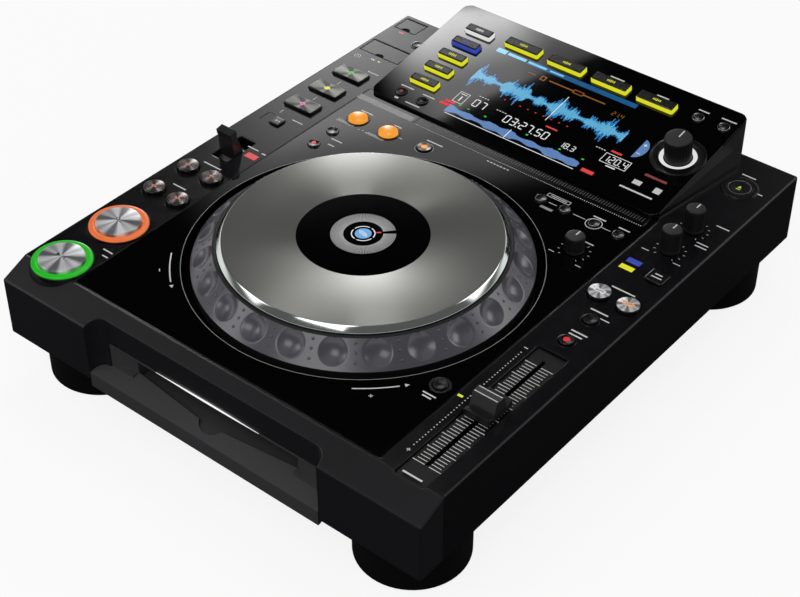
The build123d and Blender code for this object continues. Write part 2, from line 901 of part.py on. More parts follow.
with BuildPart() as case_screws:
    with BuildSketch(Plane.XY.offset(case_bottom)):
        with Locations(*boss_spots):
            Circle(screw_head_radius)
    extrude(amount=-screw_head_height)
    chamfer(case_screws.faces().group_by(Axis.Z)[0].edges(), screw_head_height / 3)
    with BuildSketch(Plane.XY.offset(case_bottom)):
        with Locations(*boss_spots):
            Circle(screw_radius)
    extrude(amount=screw_length)
save(case_screws, "case_screws")

# ---- disc lip: ramp, cheeks and lintel round the disc's mouth ---------------------------------------------------
lip_bottom = case_bottom - lip_drop
lintel_under = mouth_top - seat_gap - lintel_height
ramp_slope = (ramp_rise - lip_rise) / ramp_depth
with BuildPart() as disc_lip:
    with BuildSketch(Plane.XY.offset(lip_bottom)) as lip_plan:
        with Locations((0, front + (recess_depth - seat_gap) / 2)):
            Rectangle(2 * (recess_half_width - seat_gap), recess_depth - seat_gap)
        fillet(lip_plan.vertices().group_by(Axis.Y)[-1], recess_corner)
        with Locations((0, front + lip_depth / 2)):
            Rectangle(2 * (cheek_half_width - seat_gap), lip_depth)
    extrude(amount=mouth_top - seat_gap - lip_bottom)
    # open space above the ramp, in front of the recess wall
    with BuildSketch(Plane.YZ):
        outline(
            (front, case_bottom + lip_rise),
            (front + recess_depth + seat_gap, case_bottom + lip_rise + ramp_slope * (recess_depth + seat_gap)),
            (front + recess_depth + seat_gap, mouth_top),
            (front, mouth_top),
        )
    extrude(amount=recess_half_width, both=True, mode=Mode.SUBTRACT)
    # mouth between the cheeks, over the ramp
    with BuildSketch(Plane.YZ):
        outline(
            (front, case_bottom + lip_rise),
            (front + ramp_depth, case_bottom + ramp_rise),
            (front + lip_depth, case_bottom + ramp_rise),
            (front + lip_depth, lintel_under),
            (front, lintel_under),
        )
    extrude(amount=mouth_half_width, both=True, mode=Mode.SUBTRACT)
    # cheeks that close in to the mouth
    for side in (-1, 1):
        with BuildSketch(Plane.XY.offset(case_bottom + ramp_rise)):
            outline(
                (side * (cheek_half_width - seat_gap), front + recess_depth),
                (side * mouth_half_width, front + recess_depth),
                (side * mouth_half_width, front + ramp_depth),
            )
        extrude(amount=lintel_under - case_bottom - ramp_rise, mode=Mode.SUBTRACT)
    # lower floor behind the ramp, whose rear edge is a shallow V with a notch for a finger
    with BuildSketch(Plane.XY.offset(case_bottom + mouth_floor_rise)):
        outline(
            (-mouth_half_width, front + ramp_depth),
            (0, front + ramp_middle_depth),
            (mouth_half_width, front + ramp_depth),
            (mouth_half_width, front + lip_depth),
            (-mouth_half_width, front + lip_depth),
        )
        with Locations((0, front + ramp_depth)):
            Circle(finger_notch_radius)
    extrude(amount=lintel_under - case_bottom - mouth_floor_rise, mode=Mode.SUBTRACT)
    # hollow underside
    block(
        (lip_skin + seat_gap - cheek_half_width, front + lip_skin, lip_bottom),
        (cheek_half_width - seat_gap - lip_skin, front + lip_depth, case_bottom + lip_rise - lip_skin),
        Mode.SUBTRACT,
    )
save(disc_lip, "disc_lip")

# ---- deck panel with the jog bowl --------------------------------------------------------------------------------
with BuildPart() as deck_panel:
    with BuildSketch(deck_plane):
        with Locations((0, (panel_front + panel_back) / 2)):
            RectangleRounded(2 * panel_half_width, panel_back - panel_front, panel_corner)
        with Locations((0, jog_y)):
            Circle(bowl_radius, mode=Mode.SUBTRACT)
    extrude(amount=-panel_thickness)
    with BuildSketch(jog_section):
        outline(
            (bowl_radius, 0),
            (bowl_radius + bowl_skin, 0),
            (bowl_radius + bowl_skin, -panel_thickness),
            (bowl_floor_radius + bowl_skin, -bowl_depth - bowl_skin),
            (post_radius - ledge, -bowl_depth - bowl_skin),
            (post_radius - ledge, -bowl_depth),
            (bowl_floor_radius, -bowl_depth),
        )
    revolve(axis=jog_axis)
    for spots, radius, _ in deck_buttons.values():
        round_holes(deck_plane, spots, radius + button_gap, panel_thickness)
    round_holes(deck_plane, [jog_adjust_spot], knob_shaft_radius + shaft_gap, panel_thickness)
    block(
        (needle_left - seat_gap, needle_y - needle_width / 2 - seat_gap, deck - needle_sink - needle_thickness),
        (needle_right + seat_gap, needle_y + needle_width / 2 + seat_gap, deck),
        Mode.SUBTRACT,
    )
save(deck_panel, "deck_panel")

with BuildPart() as needle_pad:
    block(
        (needle_left, needle_y - needle_width / 2, deck - needle_sink - needle_thickness),
        (needle_right, needle_y + needle_width / 2, deck - needle_sink),
    )
save(needle_pad, "needle_pad")

# ---- jog wheel ---------------------------------------------------------------------------------------------------
with BuildPart() as jog_post:
    with BuildSketch(jog_section):
        outline(
            (0, -bowl_depth - 2 * bowl_skin),
            (post_radius - ledge - running_gap, -bowl_depth - 2 * bowl_skin),
            (post_radius - ledge - running_gap, -bowl_depth),
            (hub_radius + bowl_skin, -bowl_depth),
            (hub_radius + bowl_skin, -bowl_depth + bowl_skin),
            (post_radius, -bowl_depth + bowl_skin),
            (post_radius, web_top + 1),
            (window_radius - 3, web_top + 1),
            (window_radius - 3, plate_top - plate_skin - 0.6),
            (0, plate_top - plate_skin - 0.6),
        )
    revolve(axis=jog_axis)
save(jog_post, "jog_post")

ring_lean = (ring_radius - ring_top_radius) / (ring_crest - ring_shoulder)
web_under = web_top - web_thickness
inner_low_radius = ring_radius - ring_wall_radial
inner_low_height = ring_shoulder - ring_wall_height
inner_web_radius = inner_low_radius - (web_under - inner_low_height) * ring_lean
hub_foot = -bowl_depth + 2 * bowl_skin
slope_angle = Vector(ring_crest - ring_shoulder, ring_radius - ring_top_radius, 0).normalized()
dimple_sphere = (dimple_radius**2 + dimple_depth**2) / (2 * dimple_depth)
dimple_lift = dimple_sphere - dimple_depth
dimple_height = ring_shoulder + (ring_radius - dimple_circle) / ring_lean
with BuildPart() as jog_ring:
    with BuildSketch(jog_section):
        outline(
            (ring_radius, ring_foot),
            (ring_radius, ring_shoulder),
            (ring_top_radius, ring_crest),
            (ring_top_radius - 1.2, ring_top),
            (plate_seat_radius + 2, ring_top),
            (plate_seat_radius + 2, web_top),
            (post_radius + running_gap, web_top),
            (post_radius + running_gap, hub_foot),
            (hub_radius, hub_foot),
            (hub_radius, web_under),
            (inner_web_radius, web_under),
            (inner_low_radius, inner_low_height),
            (inner_low_radius, ring_foot),
        )
    revolve(axis=jog_axis)
    with Locations((0, jog_y, deck + dimple_height + dimple_lift * slope_angle.Y)):
        with PolarLocations(dimple_circle + dimple_lift * slope_angle.X, dimple_count):
            Sphere(dimple_sphere, mode=Mode.SUBTRACT)
save(jog_ring, "jog_ring")

with BuildPart() as jog_plate:
    with BuildSketch(jog_section):
        outline(
            (plate_radius, ring_top),
            (plate_radius, ring_top + plate_rim),
            (plate_radius - plate_bevel, plate_top - 0.3),
            (plate_radius - plate_bevel - 0.8, plate_top),
            (window_radius + running_gap, plate_top),
            (window_radius + running_gap, plate_top - window_thickness),
            (window_radius - window_ledge, plate_top - window_thickness),
            (window_radius - window_ledge, plate_top - plate_skin),
            (plate_seat_radius, plate_top - plate_skin),
            (plate_seat_radius, ring_top),
        )
    revolve(axis=jog_axis)
save(jog_plate, "jog_plate")

with BuildPart() as jog_window:
    with BuildSketch(deck_plane.offset(plate_top - window_thickness)):
        with Locations((0, jog_y)):
            Circle(window_radius)
    extrude(amount=window_thickness)
save(jog_window, "jog_window")

# ---- display: housing and glass -----------------------------------------------------------------------------------


def glass_under(y):
    """Height of the underside of the glass at a place in Y."""
    rise = (y - display_front) * tilt_sin / tilt_cos
    return deck + display_front_rise + rise - glass_thickness / tilt_cos


housing_back = front + overall_depth - seat_gap
housing_foot = deck - housing_drop
with BuildPart() as display_housing:
    with BuildSketch(Plane.YZ):
        outline(
            (housing_front, deck),
            (housing_front, glass_under(housing_front)),
            (housing_back, glass_under(housing_back)),
            (housing_back, housing_foot),
            (back, housing_foot),
            (back, deck),
        )
    extrude(amount=housing_half_width, both=True)
    fillet(display_housing.edges().filter_by(Axis.Z).sort_by(Axis.Y)[-2:], edge_radius)
    inner_front = housing_front + housing_wall
    inner_back = housing_back - housing_wall
    with BuildSketch(Plane.YZ):
        outline(
            (inner_front, deck),
            (inner_front, glass_under(inner_front)),
            (inner_back, glass_under(inner_back)),
            (inner_back, housing_foot + housing_wall),
            (back + housing_wall, housing_foot + housing_wall),
            (back + housing_wall, deck + housing_floor),
            (back - opening_inset, deck + housing_floor),
            (back - opening_inset, deck),
        )
    extrude(amount=housing_half_width - housing_wall, both=True, mode=Mode.SUBTRACT)
save(display_housing, "display_housing")

with BuildPart() as display_glass:
    with BuildSketch(display_plane):
        with Locations((0, glass_length / 2)):
            RectangleRounded(2 * display_half_width, glass_length, glass_corner)
    extrude(amount=-glass_thickness)
    for spots, radius, _ in display_buttons.values():
        round_holes(display_plane, spots, radius + button_gap, glass_thickness)
    for spots, width, depth_y in display_keys.values():
        slot_holes(
            display_plane,
            spots,
            width + 2 * button_gap,
            depth_y + 2 * button_gap,
            pad_corner + button_gap,
            glass_thickness,
        )
    round_holes(display_plane, [selector_spot], knob_shaft_radius + shaft_gap, glass_thickness)
save(display_glass, "display_glass")

# ---- push buttons and keys -----------------------------------------------------------------------------------------
for name, (spots, radius, rise) in strip_buttons.items():
    round_button(name, deck_plane, top_thickness, spots, radius, rise)
for name, (spots, radius, rise) in deck_buttons.items():
    round_button(name, deck_plane, panel_thickness, spots, radius, rise)
for name, (spots, radius, rise) in display_buttons.items():
    round_button(name, display_plane, glass_thickness, spots, radius, rise)
for name, (spot, width, depth_y, rise) in strip_pads.items():
    pad_button(name, deck_plane, top_thickness, [spot], width, depth_y, rise)
for name, (spots, width, depth_y) in display_keys.items():
    pad_button(name, display_plane, glass_thickness, spots, width, depth_y, key_rise)
for name, spot in (("play_button", play_spot), ("cue_button", cue_spot)):
    round_button(name, deck_plane, collar_depth, [spot], transport_cap_radius, transport_cap_rise)

with BuildPart() as transport_light_rings:
    with BuildSketch(deck_plane.offset(light_ring_rise)):
        with Locations(play_spot, cue_spot):
            Circle(light_ring_outer)
            Circle(light_ring_inner, mode=Mode.SUBTRACT)
    extrude(amount=-(light_ring_rise + collar_depth))
    with BuildSketch(deck_plane.offset(collar_rise)):
        with Locations(play_spot, cue_spot):
            Circle(collar_radius)
            Circle(light_ring_inner, mode=Mode.SUBTRACT)
    extrude(amount=-(collar_rise + collar_depth))
save(transport_light_rings, "transport_light_rings")

# ---- knobs -----------------------------------------------------------------------------------------------------------
for name, (spot, radius, height) in strip_knobs.items():
    knob(name, deck_plane, top_thickness, spot, radius, height)
knob("jog_adjust_knob", deck_plane, panel_thickness, jog_adjust_spot, jog_adjust_radius, jog_adjust_height)
knob("selector_knob", display_plane, glass_thickness, selector_spot, selector_radius, selector_height)

# ---- direction lever, leaning to the front at rest --------------------------------------------------------------------
lever_plane = Plane(
    origin=(lever_spot[0], lever_spot[1], deck - lever_pivot_depth),
    x_dir=(0, cos(radians(lever_tilt)), sin(radians(lever_tilt))),
    z_dir=(1, 0, 0),
)
with BuildPart() as direction_lever:
    with BuildSketch(lever_plane):
        Circle(lever_drum_radius)
        outline(
            (-lever_blade_foot, 0),
            (-lever_blade_top, lever_length - lever_bar_height),
            (-lever_bar_half_depth, lever_length - lever_bar_height),
            (-lever_bar_half_depth, lever_length),
            (lever_bar_half_depth, lever_length),
            (lever_bar_half_depth, lever_length - lever_bar_height),
            (lever_blade_top, lever_length - lever_bar_height),
            (lever_blade_foot, 0),
        )
    extrude(amount=lever_half_width, both=True)
save(direction_lever, "direction_lever")

# ---- tempo slider -------------------------------------------------------------------------------------------------------
with BuildPart() as slider_plate:
    with BuildSketch(deck_plane.offset(-slider_plate_sink)):
        with Locations(plate_centre):
            RectangleRounded(slider_plate_width, plate_length, pad_corner)
        with Locations((strip_x, slider_y)):
            Rectangle(
                slider_stem_width + 2 * slider_slot_gap,
                2 * slider_travel + slider_stem_length + 2 * slider_slot_gap,
                mode=Mode.SUBTRACT,
            )
    extrude(amount=-slider_plate_thickness)
save(slider_plate, "slider_plate")

slider_plane = Plane(origin=(strip_x, slider_y, deck + slider_cap_lift), x_dir=(0, 1, 0), z_dir=(1, 0, 0))
with BuildPart() as tempo_slider:
    with BuildSketch(slider_plane):
        outline(
            (-slider_cap_length / 2, 0),
            (-slider_cap_length / 2, slider_wing_height),
            (-slider_ridge_length, slider_wing_height - 1.5),
            (-slider_ridge_length / 2, slider_cap_height),
            (slider_ridge_length / 2, slider_cap_height),
            (slider_ridge_length, slider_wing_height - 1.5),
            (slider_cap_length / 2, slider_wing_height),
            (slider_cap_length / 2, 0),
        )
    extrude(amount=slider_cap_width / 2, both=True)
    block(
        (strip_x - slider_stem_width / 2, slider_y - slider_stem_length / 2, deck - slider_stem_depth),
        (strip_x + slider_stem_width / 2, slider_y + slider_stem_length / 2, deck + slider_cap_lift),
    )
save(tempo_slider, "tempo_slider")

# ---- media doors ----------------------------------------------------------------------------------------------------------
for name, (left, right, near, far) in doors.items():
    pin_y = front + far - door_thickness / 2
    with BuildPart() as door:
        block((left, front + near, deck - door_thickness), (right, pin_y, deck))
        with BuildSketch(Plane.YZ.offset(left)):
            with Locations((pin_y, deck - door_thickness / 2)):
                Circle(door_thickness / 2)
        extrude(amount=right - left)
        with BuildSketch(Plane.YZ.offset(left - door_pin_length)):
            with Locations((pin_y, deck - door_thickness / 2)):
                Circle(door_pin_radius)
        extrude(amount=right - left + 2 * door_pin_length)
        with Locations(((left + right) / 2, front + near, deck + door_thickness / 2)):
            Sphere(door_scoop_radius, mode=Mode.SUBTRACT)
    save(door, name)

# ---- disc drive ---------------------------------------------------------------------------------------------------------------
roller_y = front + roller_from_front
spindle_y = front + spindle_from_front
roller_height = disc_height - 0.7 - roller_radius
with BuildPart() as drive_frame:
    block((-drive_half_width, drive_front, drive_bottom), (drive_half_width, drive_back, drive_top))
    block(
        (drive_skin - drive_half_width, drive_front + drive_skin, drive_bottom + drive_skin),
        (drive_half_width - drive_skin, drive_back - drive_skin, drive_top - drive_skin),
        Mode.SUBTRACT,
    )
    block(
        (-mouth_half_width, drive_front, drive_slot_low),
        (mouth_half_width, drive_front + drive_skin, drive_slot_high),
        Mode.SUBTRACT,
    )
    with BuildSketch(Plane.YZ.offset(-drive_half_width)):
        with Locations((roller_y, roller_height)):
            Circle(roller_shaft_radius + running_gap)
    extrude(amount=2 * drive_half_width, mode=Mode.SUBTRACT)
    with BuildSketch(Plane.XY.offset(drive_bottom)):
        with Locations((0, spindle_y)):
            Circle(spindle_boss_radius)
    extrude(amount=spindle_boss_height)
    with BuildSketch(Plane.XY.offset(drive_bottom)):
        with Locations((0, spindle_y)):
            Circle(spindle_shaft_radius + running_gap)
    extrude(amount=spindle_boss_height, mode=Mode.SUBTRACT)
    # guide rods for the pickup, held in a block at each end
    for near in (rod_start - rod_block, rod_start + rod_length):
        block(
            (-rod_x - rod_block, front + near, drive_bottom),
            (rod_x + rod_block, front + near + rod_block, rod_height + rod_block / 2),
        )
    with BuildSketch(Plane.XZ.offset(-(front + rod_start))):
        with Locations((-rod_x, rod_height), (rod_x, rod_height)):
            Circle(rod_radius)
    extrude(amount=-rod_length)
    leg_x = drive_half_width - drive_leg_inset
    leg_spots = [
        (side * leg_x, place)
        for side in (-1, 1)
        for place in (drive_front + 2 * drive_leg_inset, drive_back - drive_leg_inset)
    ]
    with BuildSketch(Plane.XY.offset(well_floor + base_thickness)):
        with Locations(*leg_spots):
            Circle(drive_leg_radius)
    extrude(amount=drive_bottom - well_floor - base_thickness)
save(drive_frame, "drive_frame")

with BuildPart() as loading_roller:
    with BuildSketch(Plane.YZ):
        with Locations((roller_y, roller_height)):
            Circle(roller_radius)
    extrude(amount=roller_half_length, both=True)
    with BuildSketch(Plane.YZ):
        with Locations((roller_y, roller_height)):
            Circle(roller_shaft_radius)
    extrude(amount=roller_shaft_half, both=True)
save(loading_roller, "loading_roller")

with BuildPart() as disc_spindle:
    spindle_section = Plane(origin=(0, spindle_y, 0), x_dir=(1, 0, 0), z_dir=(0, -1, 0))
    with BuildSketch(spindle_section):
        outline(
            (0, drive_bottom + 1),
            (spindle_shaft_radius, drive_bottom + 1),
            (spindle_shaft_radius, disc_height - spindle_rim - 2.5),
            (spindle_radius, disc_height - spindle_rim - 2.5),
            (spindle_radius, disc_height - spindle_rim),
            (spindle_cone_radius, disc_height - spindle_rim),
            (spindle_cone_radius - 1, disc_height - 1),
            (0, disc_height - 1),
        )
    revolve(axis=Axis((0, spindle_y, 0), (0, 0, 1)))
save(disc_spindle, "disc_spindle")

sled_y = front + sled_from_front
with BuildPart() as optical_pickup:
    block(
        (-sled_width / 2, sled_y - sled_depth / 2, rod_height - sled_height / 2),
        (sled_width / 2, sled_y + sled_depth / 2, rod_height + sled_height / 2),
    )
    with BuildSketch(Plane.XZ.offset(-(sled_y - sled_depth / 2))):
        with Locations((-rod_x, rod_height), (rod_x, rod_height)):
            Circle(rod_radius + running_gap)
    extrude(amount=-sled_depth, mode=Mode.SUBTRACT)
    with BuildSketch(Plane.XY.offset(rod_height + sled_height / 2)):
        with Locations((0, sled_y)):
            Circle(lens_radius)
    extrude(amount=lens_rise)
save(optical_pickup, "optical_pickup")

# ---- electronics: two boards on standoffs in the well, and the screen under the display's glass -----------------------------------
board_top = board_height + board_thickness


def circuit_board(centre, size, components):
    """Board on four standoffs, with its tall components as (x, y, width, depth, height) from its centre."""
    x, y = centre
    block(
        (x - size[0] / 2, y - size[1] / 2, board_height),
        (x + size[0] / 2, y + size[1] / 2, board_top),
    )
    with BuildSketch(Plane.XY.offset(board_height)) as standoffs:
        with Locations(centre):
            with GridLocations(size[0] - 10, size[1] - 10, 2, 2):
                Circle(3)
    extrude(standoffs.sketch, amount=-board_standoff)
    for dx, dy, width, depth_y, height in components:
        block(
            (x + dx - width / 2, y + dy - depth_y / 2, board_top),
            (x + dx + width / 2, y + dy + depth_y / 2, board_top + height),
        )


processor = (-20, 10, 28, 28, 4)
heat_sink = (-20, 10, 24, 24, 16)
memory_chip = (20, 25, 12, 20, 3)
drive_chip = (24, -30, 18, 18, 3)
ribbon_socket = (0, -70, 40, 6, 6)
transformer = (0, -20, 30, 34, 24)
primary_capacitor = (0, 25, 20, 26, 20)
output_filter = (0, 60, 26, 16, 12)
with BuildPart() as electronics:
    circuit_board(
        main_board_centre,
        main_board_size,
        [processor, heat_sink, memory_chip, drive_chip, ribbon_socket],
    )
    circuit_board(supply_centre, supply_size, [transformer, primary_capacitor, output_filter])
    with BuildSketch(display_plane.offset(-glass_thickness)):
        with Locations(((screen_left + screen_right) / 2, (screen_near + screen_far) / 2)):
            Rectangle(screen_right - screen_left, screen_far - screen_near)
    extrude(amount=-screen_depth)
save(electronics, "electronics")

# ---- sockets: mains, network, computer, control and phono, in the rear panel ----------------------------------------------
with BuildPart() as sockets:
    socket_boxes = [
        (inlet_x, inlet_width, inlet_height, inlet_cavity, inlet_depth),
        (network_x, *network_size, network_cavity, network_depth),
        (computer_port_x, *computer_port_size, computer_port_cavity, computer_port_depth),
    ]
    for x, width, height, cavity, depth in socket_boxes:
        with BuildSketch(rear_plane(x, socket_height)):
            Rectangle(width, height)
        extrude(amount=-depth)
        with BuildSketch(rear_plane(x, socket_height)):
            Rectangle(*cavity)
        extrude(amount=-(depth - wall), mode=Mode.SUBTRACT)
    # blades of the mains inlet
    with BuildSketch(rear_plane(inlet_x, socket_height).offset(wall - inlet_depth)):
        with Locations((-7, -2), (7, -2), (0, 2)):
            Rectangle(2, 5)
    extrude(amount=inlet_pin_length)
    with BuildSketch(rear_plane(computer_port_x, socket_height).offset(wall - computer_port_depth)):
        Rectangle(computer_port_tongue[0], computer_port_tongue[1])
    extrude(amount=computer_port_tongue[2] - 1)
    # control jack
    with BuildSketch(rear_plane(control_jack_x, socket_height)):
        Circle(control_jack_radius)
    extrude(amount=-control_jack_depth)
    with BuildSketch(rear_plane(control_jack_x, socket_height)):
        Circle(control_jack_bore)
    extrude(amount=wall - control_jack_depth, mode=Mode.SUBTRACT)
    # phono jacks
    for x in phono_places:
        with BuildSketch(rear_plane(x, socket_height)):
            Circle(phono_body_radius)
        extrude(amount=-phono_body_depth)
        with BuildSketch(rear_plane(x, socket_height)):
            Circle(phono_flange_radius)
        extrude(amount=phono_flange)
        with BuildSketch(rear_plane(x, socket_height)):
            Circle(phono_radius)
        extrude(amount=phono_flange + phono_length)
        with BuildSketch(rear_plane(x, socket_height).offset(phono_flange + phono_length)):
            Circle(phono_bore)
        extrude(amount=-phono_length, mode=Mode.SUBTRACT)
save(sockets, "sockets")

with BuildPart() as power_button:
    with BuildSketch(rear_plane(power_x, power_height).offset(power_rise)):
        Circle(power_radius)
    extrude(amount=-(power_rise + wall + skirt_drop + power_inner))
    fillet(power_button.faces().sort_by(Axis.Y)[-1].edges(), cap_edge)
    with BuildSketch(rear_plane(power_x, power_height).offset(-wall - skirt_drop)):
        Circle(power_radius + button_skirt)
    extrude(amount=-power_inner)
save(power_button, "power_button")
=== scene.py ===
# %% [markdown]
# # A tabletop disc player, dressed for its portrait
#
# The CAD model gives every moulding, button and shaft at its real size. This lesson gives them their
# finishes, and swaps a few plain solids for pieces with the detail that the eye looks for: the dimpled
# grip ring of the jog wheel, the spun aluminium caps, the ribbed knobs and the lit screen.
# All sizes below are in millimetres, because that is how the real object is drawn, and one factor
# turns them into Blender's metres.

from math import cos, pi, radians, sin, tau

import bmesh
import bpy
from mathutils import Matrix, Vector


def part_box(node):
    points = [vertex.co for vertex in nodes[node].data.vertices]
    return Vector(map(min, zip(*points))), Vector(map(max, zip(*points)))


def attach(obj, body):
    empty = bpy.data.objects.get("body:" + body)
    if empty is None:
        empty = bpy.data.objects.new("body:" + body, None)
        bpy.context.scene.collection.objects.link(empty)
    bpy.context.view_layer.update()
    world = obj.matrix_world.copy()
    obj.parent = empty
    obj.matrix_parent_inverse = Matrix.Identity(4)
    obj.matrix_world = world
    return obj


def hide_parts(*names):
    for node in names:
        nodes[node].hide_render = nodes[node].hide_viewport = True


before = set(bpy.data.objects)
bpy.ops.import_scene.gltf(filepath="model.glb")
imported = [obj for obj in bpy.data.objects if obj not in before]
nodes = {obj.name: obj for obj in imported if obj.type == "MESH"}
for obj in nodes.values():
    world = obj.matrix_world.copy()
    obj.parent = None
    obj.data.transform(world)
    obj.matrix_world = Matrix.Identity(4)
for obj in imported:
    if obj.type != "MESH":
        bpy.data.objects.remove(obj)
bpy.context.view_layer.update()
MM = 0.001
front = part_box("front_panel")[0].y / MM
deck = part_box("deck_panel")[1].z / MM
print(len(nodes), "CAD nodes; the case front is at", round(front, 1), "and the deck at", round(deck, 1))

# %% [markdown]
# ## Two working surfaces
#
# Almost everything the user touches stands on one of two flat surfaces: the level deck, and the display
# panel, which leans back so that it faces the user. A matrix for each lets one piece of code place a
# button on either. A place on a surface is x to the right and a distance from its front. The
# alternative, turning each finished object, would leave its pattern coordinates turned too, so the
# matrix is applied to the points instead and every object stays at the origin.

# %% The deck's and the display's own axes
display_tilt = 9.6
display_distance, display_rise = 287, 2
jog_spot = (0, 144.8)
DECK = Matrix.Translation((0, front, deck))
DISPLAY = Matrix.Translation((0, front + display_distance, deck + display_rise)) @ Matrix.Rotation(
    radians(display_tilt), 4, "X"
)
print("display normal:", [round(v, 3) for v in DISPLAY.to_3x3() @ Vector((0, 0, 1))])


# %% [markdown]
# ## Helpers for materials
#
# A colour is easiest to choose as a hex value, the way it looks on a screen, but a renderer adds up
# light, so each value is turned to linear first. Nodes are added by one small function that takes the
# node's settings and its links together, which keeps a material's recipe readable from top to bottom.

# %% Colours, nodes and a first coat
def tone(code):
    """sRGB hex such as "1b1b1e" to a linear colour."""
    channels = [int(code[i : i + 2], 16) / 255 for i in (0, 2, 4)]
    return tuple(c / 12.92 if c <= 0.04045 else ((c + 0.055) / 1.055) ** 2.4 for c in channels) + (1,)


def add(tree, kind, links=(), **settings):
    """Add a node. links is a dict of input name or number to a value, to another node's output, or
    to another node, whose first output is then meant."""
    made = tree.nodes.new(kind)
    for name, value in settings.items():
        setattr(made, name, value)
    for name, value in dict(links).items():
        if isinstance(value, bpy.types.Node):
            value = value.outputs[0]
        if isinstance(value, bpy.types.NodeSocket):
            tree.links.new(value, made.inputs[name])
        else:
            made.inputs[name].default_value = value
    return made


def start(name, colour, roughness, metallic=0.0, **sockets):
    """A Principled material with constants on the shader's own sockets."""
    material = bpy.data.materials.new(name)
    material.use_nodes = True
    tree = material.node_tree
    shader = tree.nodes["Principled BSDF"]
    shader.inputs["Base Color"].default_value = tone(colour)
    shader.inputs["Roughness"].default_value = roughness
    shader.inputs["Metallic"].default_value = metallic
    for socket, value in sockets.items():
        shader.inputs[socket.replace("_", " ")].default_value = value
    return material, tree, shader


print("a mid grey in linear light:", [round(v, 3) for v in tone("808080")])


# %% [markdown]
# Two patterns come back in nearly every finish: a fine grain in the surface, and slow patches of colour
# or gloss. Each takes the size of its grains or patches in millimetres, so that it can be chosen from
# the real surface.

# %% Grain and patches
def grain(tree, shader, size, height, edge=0.0, detail=3.0):
    """Bump from noise with grains of a size in mm; edge rounds sharp corners by that many mm."""
    place = add(tree, "ShaderNodeTexCoord").outputs["Object"]
    noise = add(tree, "ShaderNodeTexNoise", {"Vector": place, "Scale": 1 / (size * MM), "Detail": detail})
    links = {"Height": noise.outputs["Fac"], "Distance": height * MM, "Strength": 1.0}
    if edge:
        links["Normal"] = add(tree, "ShaderNodeBevel", {"Radius": edge * MM}, samples=4).outputs["Normal"]
    bump = add(tree, "ShaderNodeBump", links)
    tree.links.new(bump.outputs["Normal"], shader.inputs["Normal"])
    return place


def mottle(tree, shader, place, size, low, high, socket="Base Color"):
    """Slow variation of a colour or a roughness over patches of a size in mm."""
    noise = add(tree, "ShaderNodeTexNoise", {"Vector": place, "Scale": 1 / (size * MM), "Detail": 4.0})
    if socket == "Base Color":
        ends = {0: noise.outputs["Fac"], 6: tone(low), 7: tone(high)}
        patches = add(tree, "ShaderNodeMix", ends, data_type="RGBA").outputs[2]
    else:
        # noise gathers around one half, so its middle stretch alone is spread from low to high
        ends = {0: noise.outputs["Fac"], 1: 0.3, 2: 0.7, 3: low, 4: high}
        patches = add(tree, "ShaderNodeMapRange", ends).outputs[0]
    tree.links.new(patches, shader.inputs[socket])


def dress(finishes):
    """Give each CAD node its finish in place of the plain colour that it came with."""
    for node, material in finishes.items():
        nodes[node].data.materials.clear()
        nodes[node].data.materials.append(material)
    print("dressed:", ", ".join(finishes))


print("noise of 0.7 mm grains has a scale of", round(1 / (0.7 * MM)))


# %% [markdown]
# ## The mouldings: spark-eroded ABS
#
# The case is ABS, moulded against steel that was spark-eroded to a fine even grain. The grain breaks up
# reflections, so the plastic looks matt and a little grey where the light grazes it. The real grain is
# about 0.1 mm; here it is drawn at 0.7 mm, because anything finer would vanish in a render. The
# case's grain is shallower than that of the small mouldings, so it keeps a soft gloss.

# %% ABS in black and in grey
COLOUR_PATCH, GLOSS_PATCH = 60, 9


def moulded(name, low, high, roughness, size=0.7, height=0.03, edge=0.6, level=0.35):
    """Moulded plastic between two colours; size and height are those of its grain."""
    material, tree, shader = start(name, low, roughness, Specular_IOR_Level=level)
    place = grain(tree, shader, size, height, edge)
    mottle(tree, shader, place, COLOUR_PATCH, low, high)
    mottle(tree, shader, place, GLOSS_PATCH, roughness - 0.02, roughness + 0.02, "Roughness")
    return material


case_abs = moulded("black_moulded_abs", "0c0c0e", "101013", 0.16, height=0.004, edge=1.4, level=0.25)
# the front panel is the case's black ABS painted lighter: painted light for what its slope and face catch
front_lighter_abs = moulded(
    "black_abs_painted_lighter_front", "1b1b1d", "1f1f22", 0.25, height=0.006, edge=1.6, level=0.3
)
ramp_abs = moulded("grey_moulded_abs", "3a3a3c", "424244", 0.62, size=1.0, height=0.06)
housing_abs = moulded("dark_grey_abs", "202023", "29292c", 0.4, level=0.5)
foot_abs = moulded("smooth_black_abs", "0a0a0c", "0e0e10", 0.3, size=3, height=0.02, level=0.4)
fader_abs = moulded("satin_black_fader_plate", "0a0a0c", "0e0e10", 0.3, level=0.2)
control_abs = moulded(
    "satin_black_control_abs", "141416", "1a1a1d", 0.34, size=1.2, height=0.02, edge=0.4, level=0.5
)
socket_abs = moulded("black_socket_nylon", "0d0d0e", "131315", 0.5, size=0.9, height=0.02, edge=0.2)
inner_abs = moulded("dark_inner_abs", "1c1c1e", "242426", 0.6, size=1.2, height=0.04, edge=0.3)

# %% The mouldings get their plastics
dress({
    "upper_case": case_abs,
    "front_panel": front_lighter_abs,
    "usb_door": case_abs,
    "sd_door": case_abs,
    "disc_lip": ramp_abs,
    "display_housing": housing_abs,
    "feet": foot_abs,
    "slider_plate": fader_abs,
    "direction_lever": control_abs,
    "tempo_slider": control_abs,
    "power_button": control_abs,
    "media_wells": socket_abs,
    "sockets": socket_abs,
    "drive_frame": inner_abs,
    "jog_post": inner_abs,
})


# %% [markdown]
# ## Polished black acrylic
#
# The deck panel, the display window and the jog's centre window are acrylic with a black back print. A
# polished surface has no grain at all, only a very slight waviness from moulding, which makes long
# reflections look like plastic instead of like a mirror. The jog's window also has a coating that
# takes most of its gloss away, so that its small display stays readable.

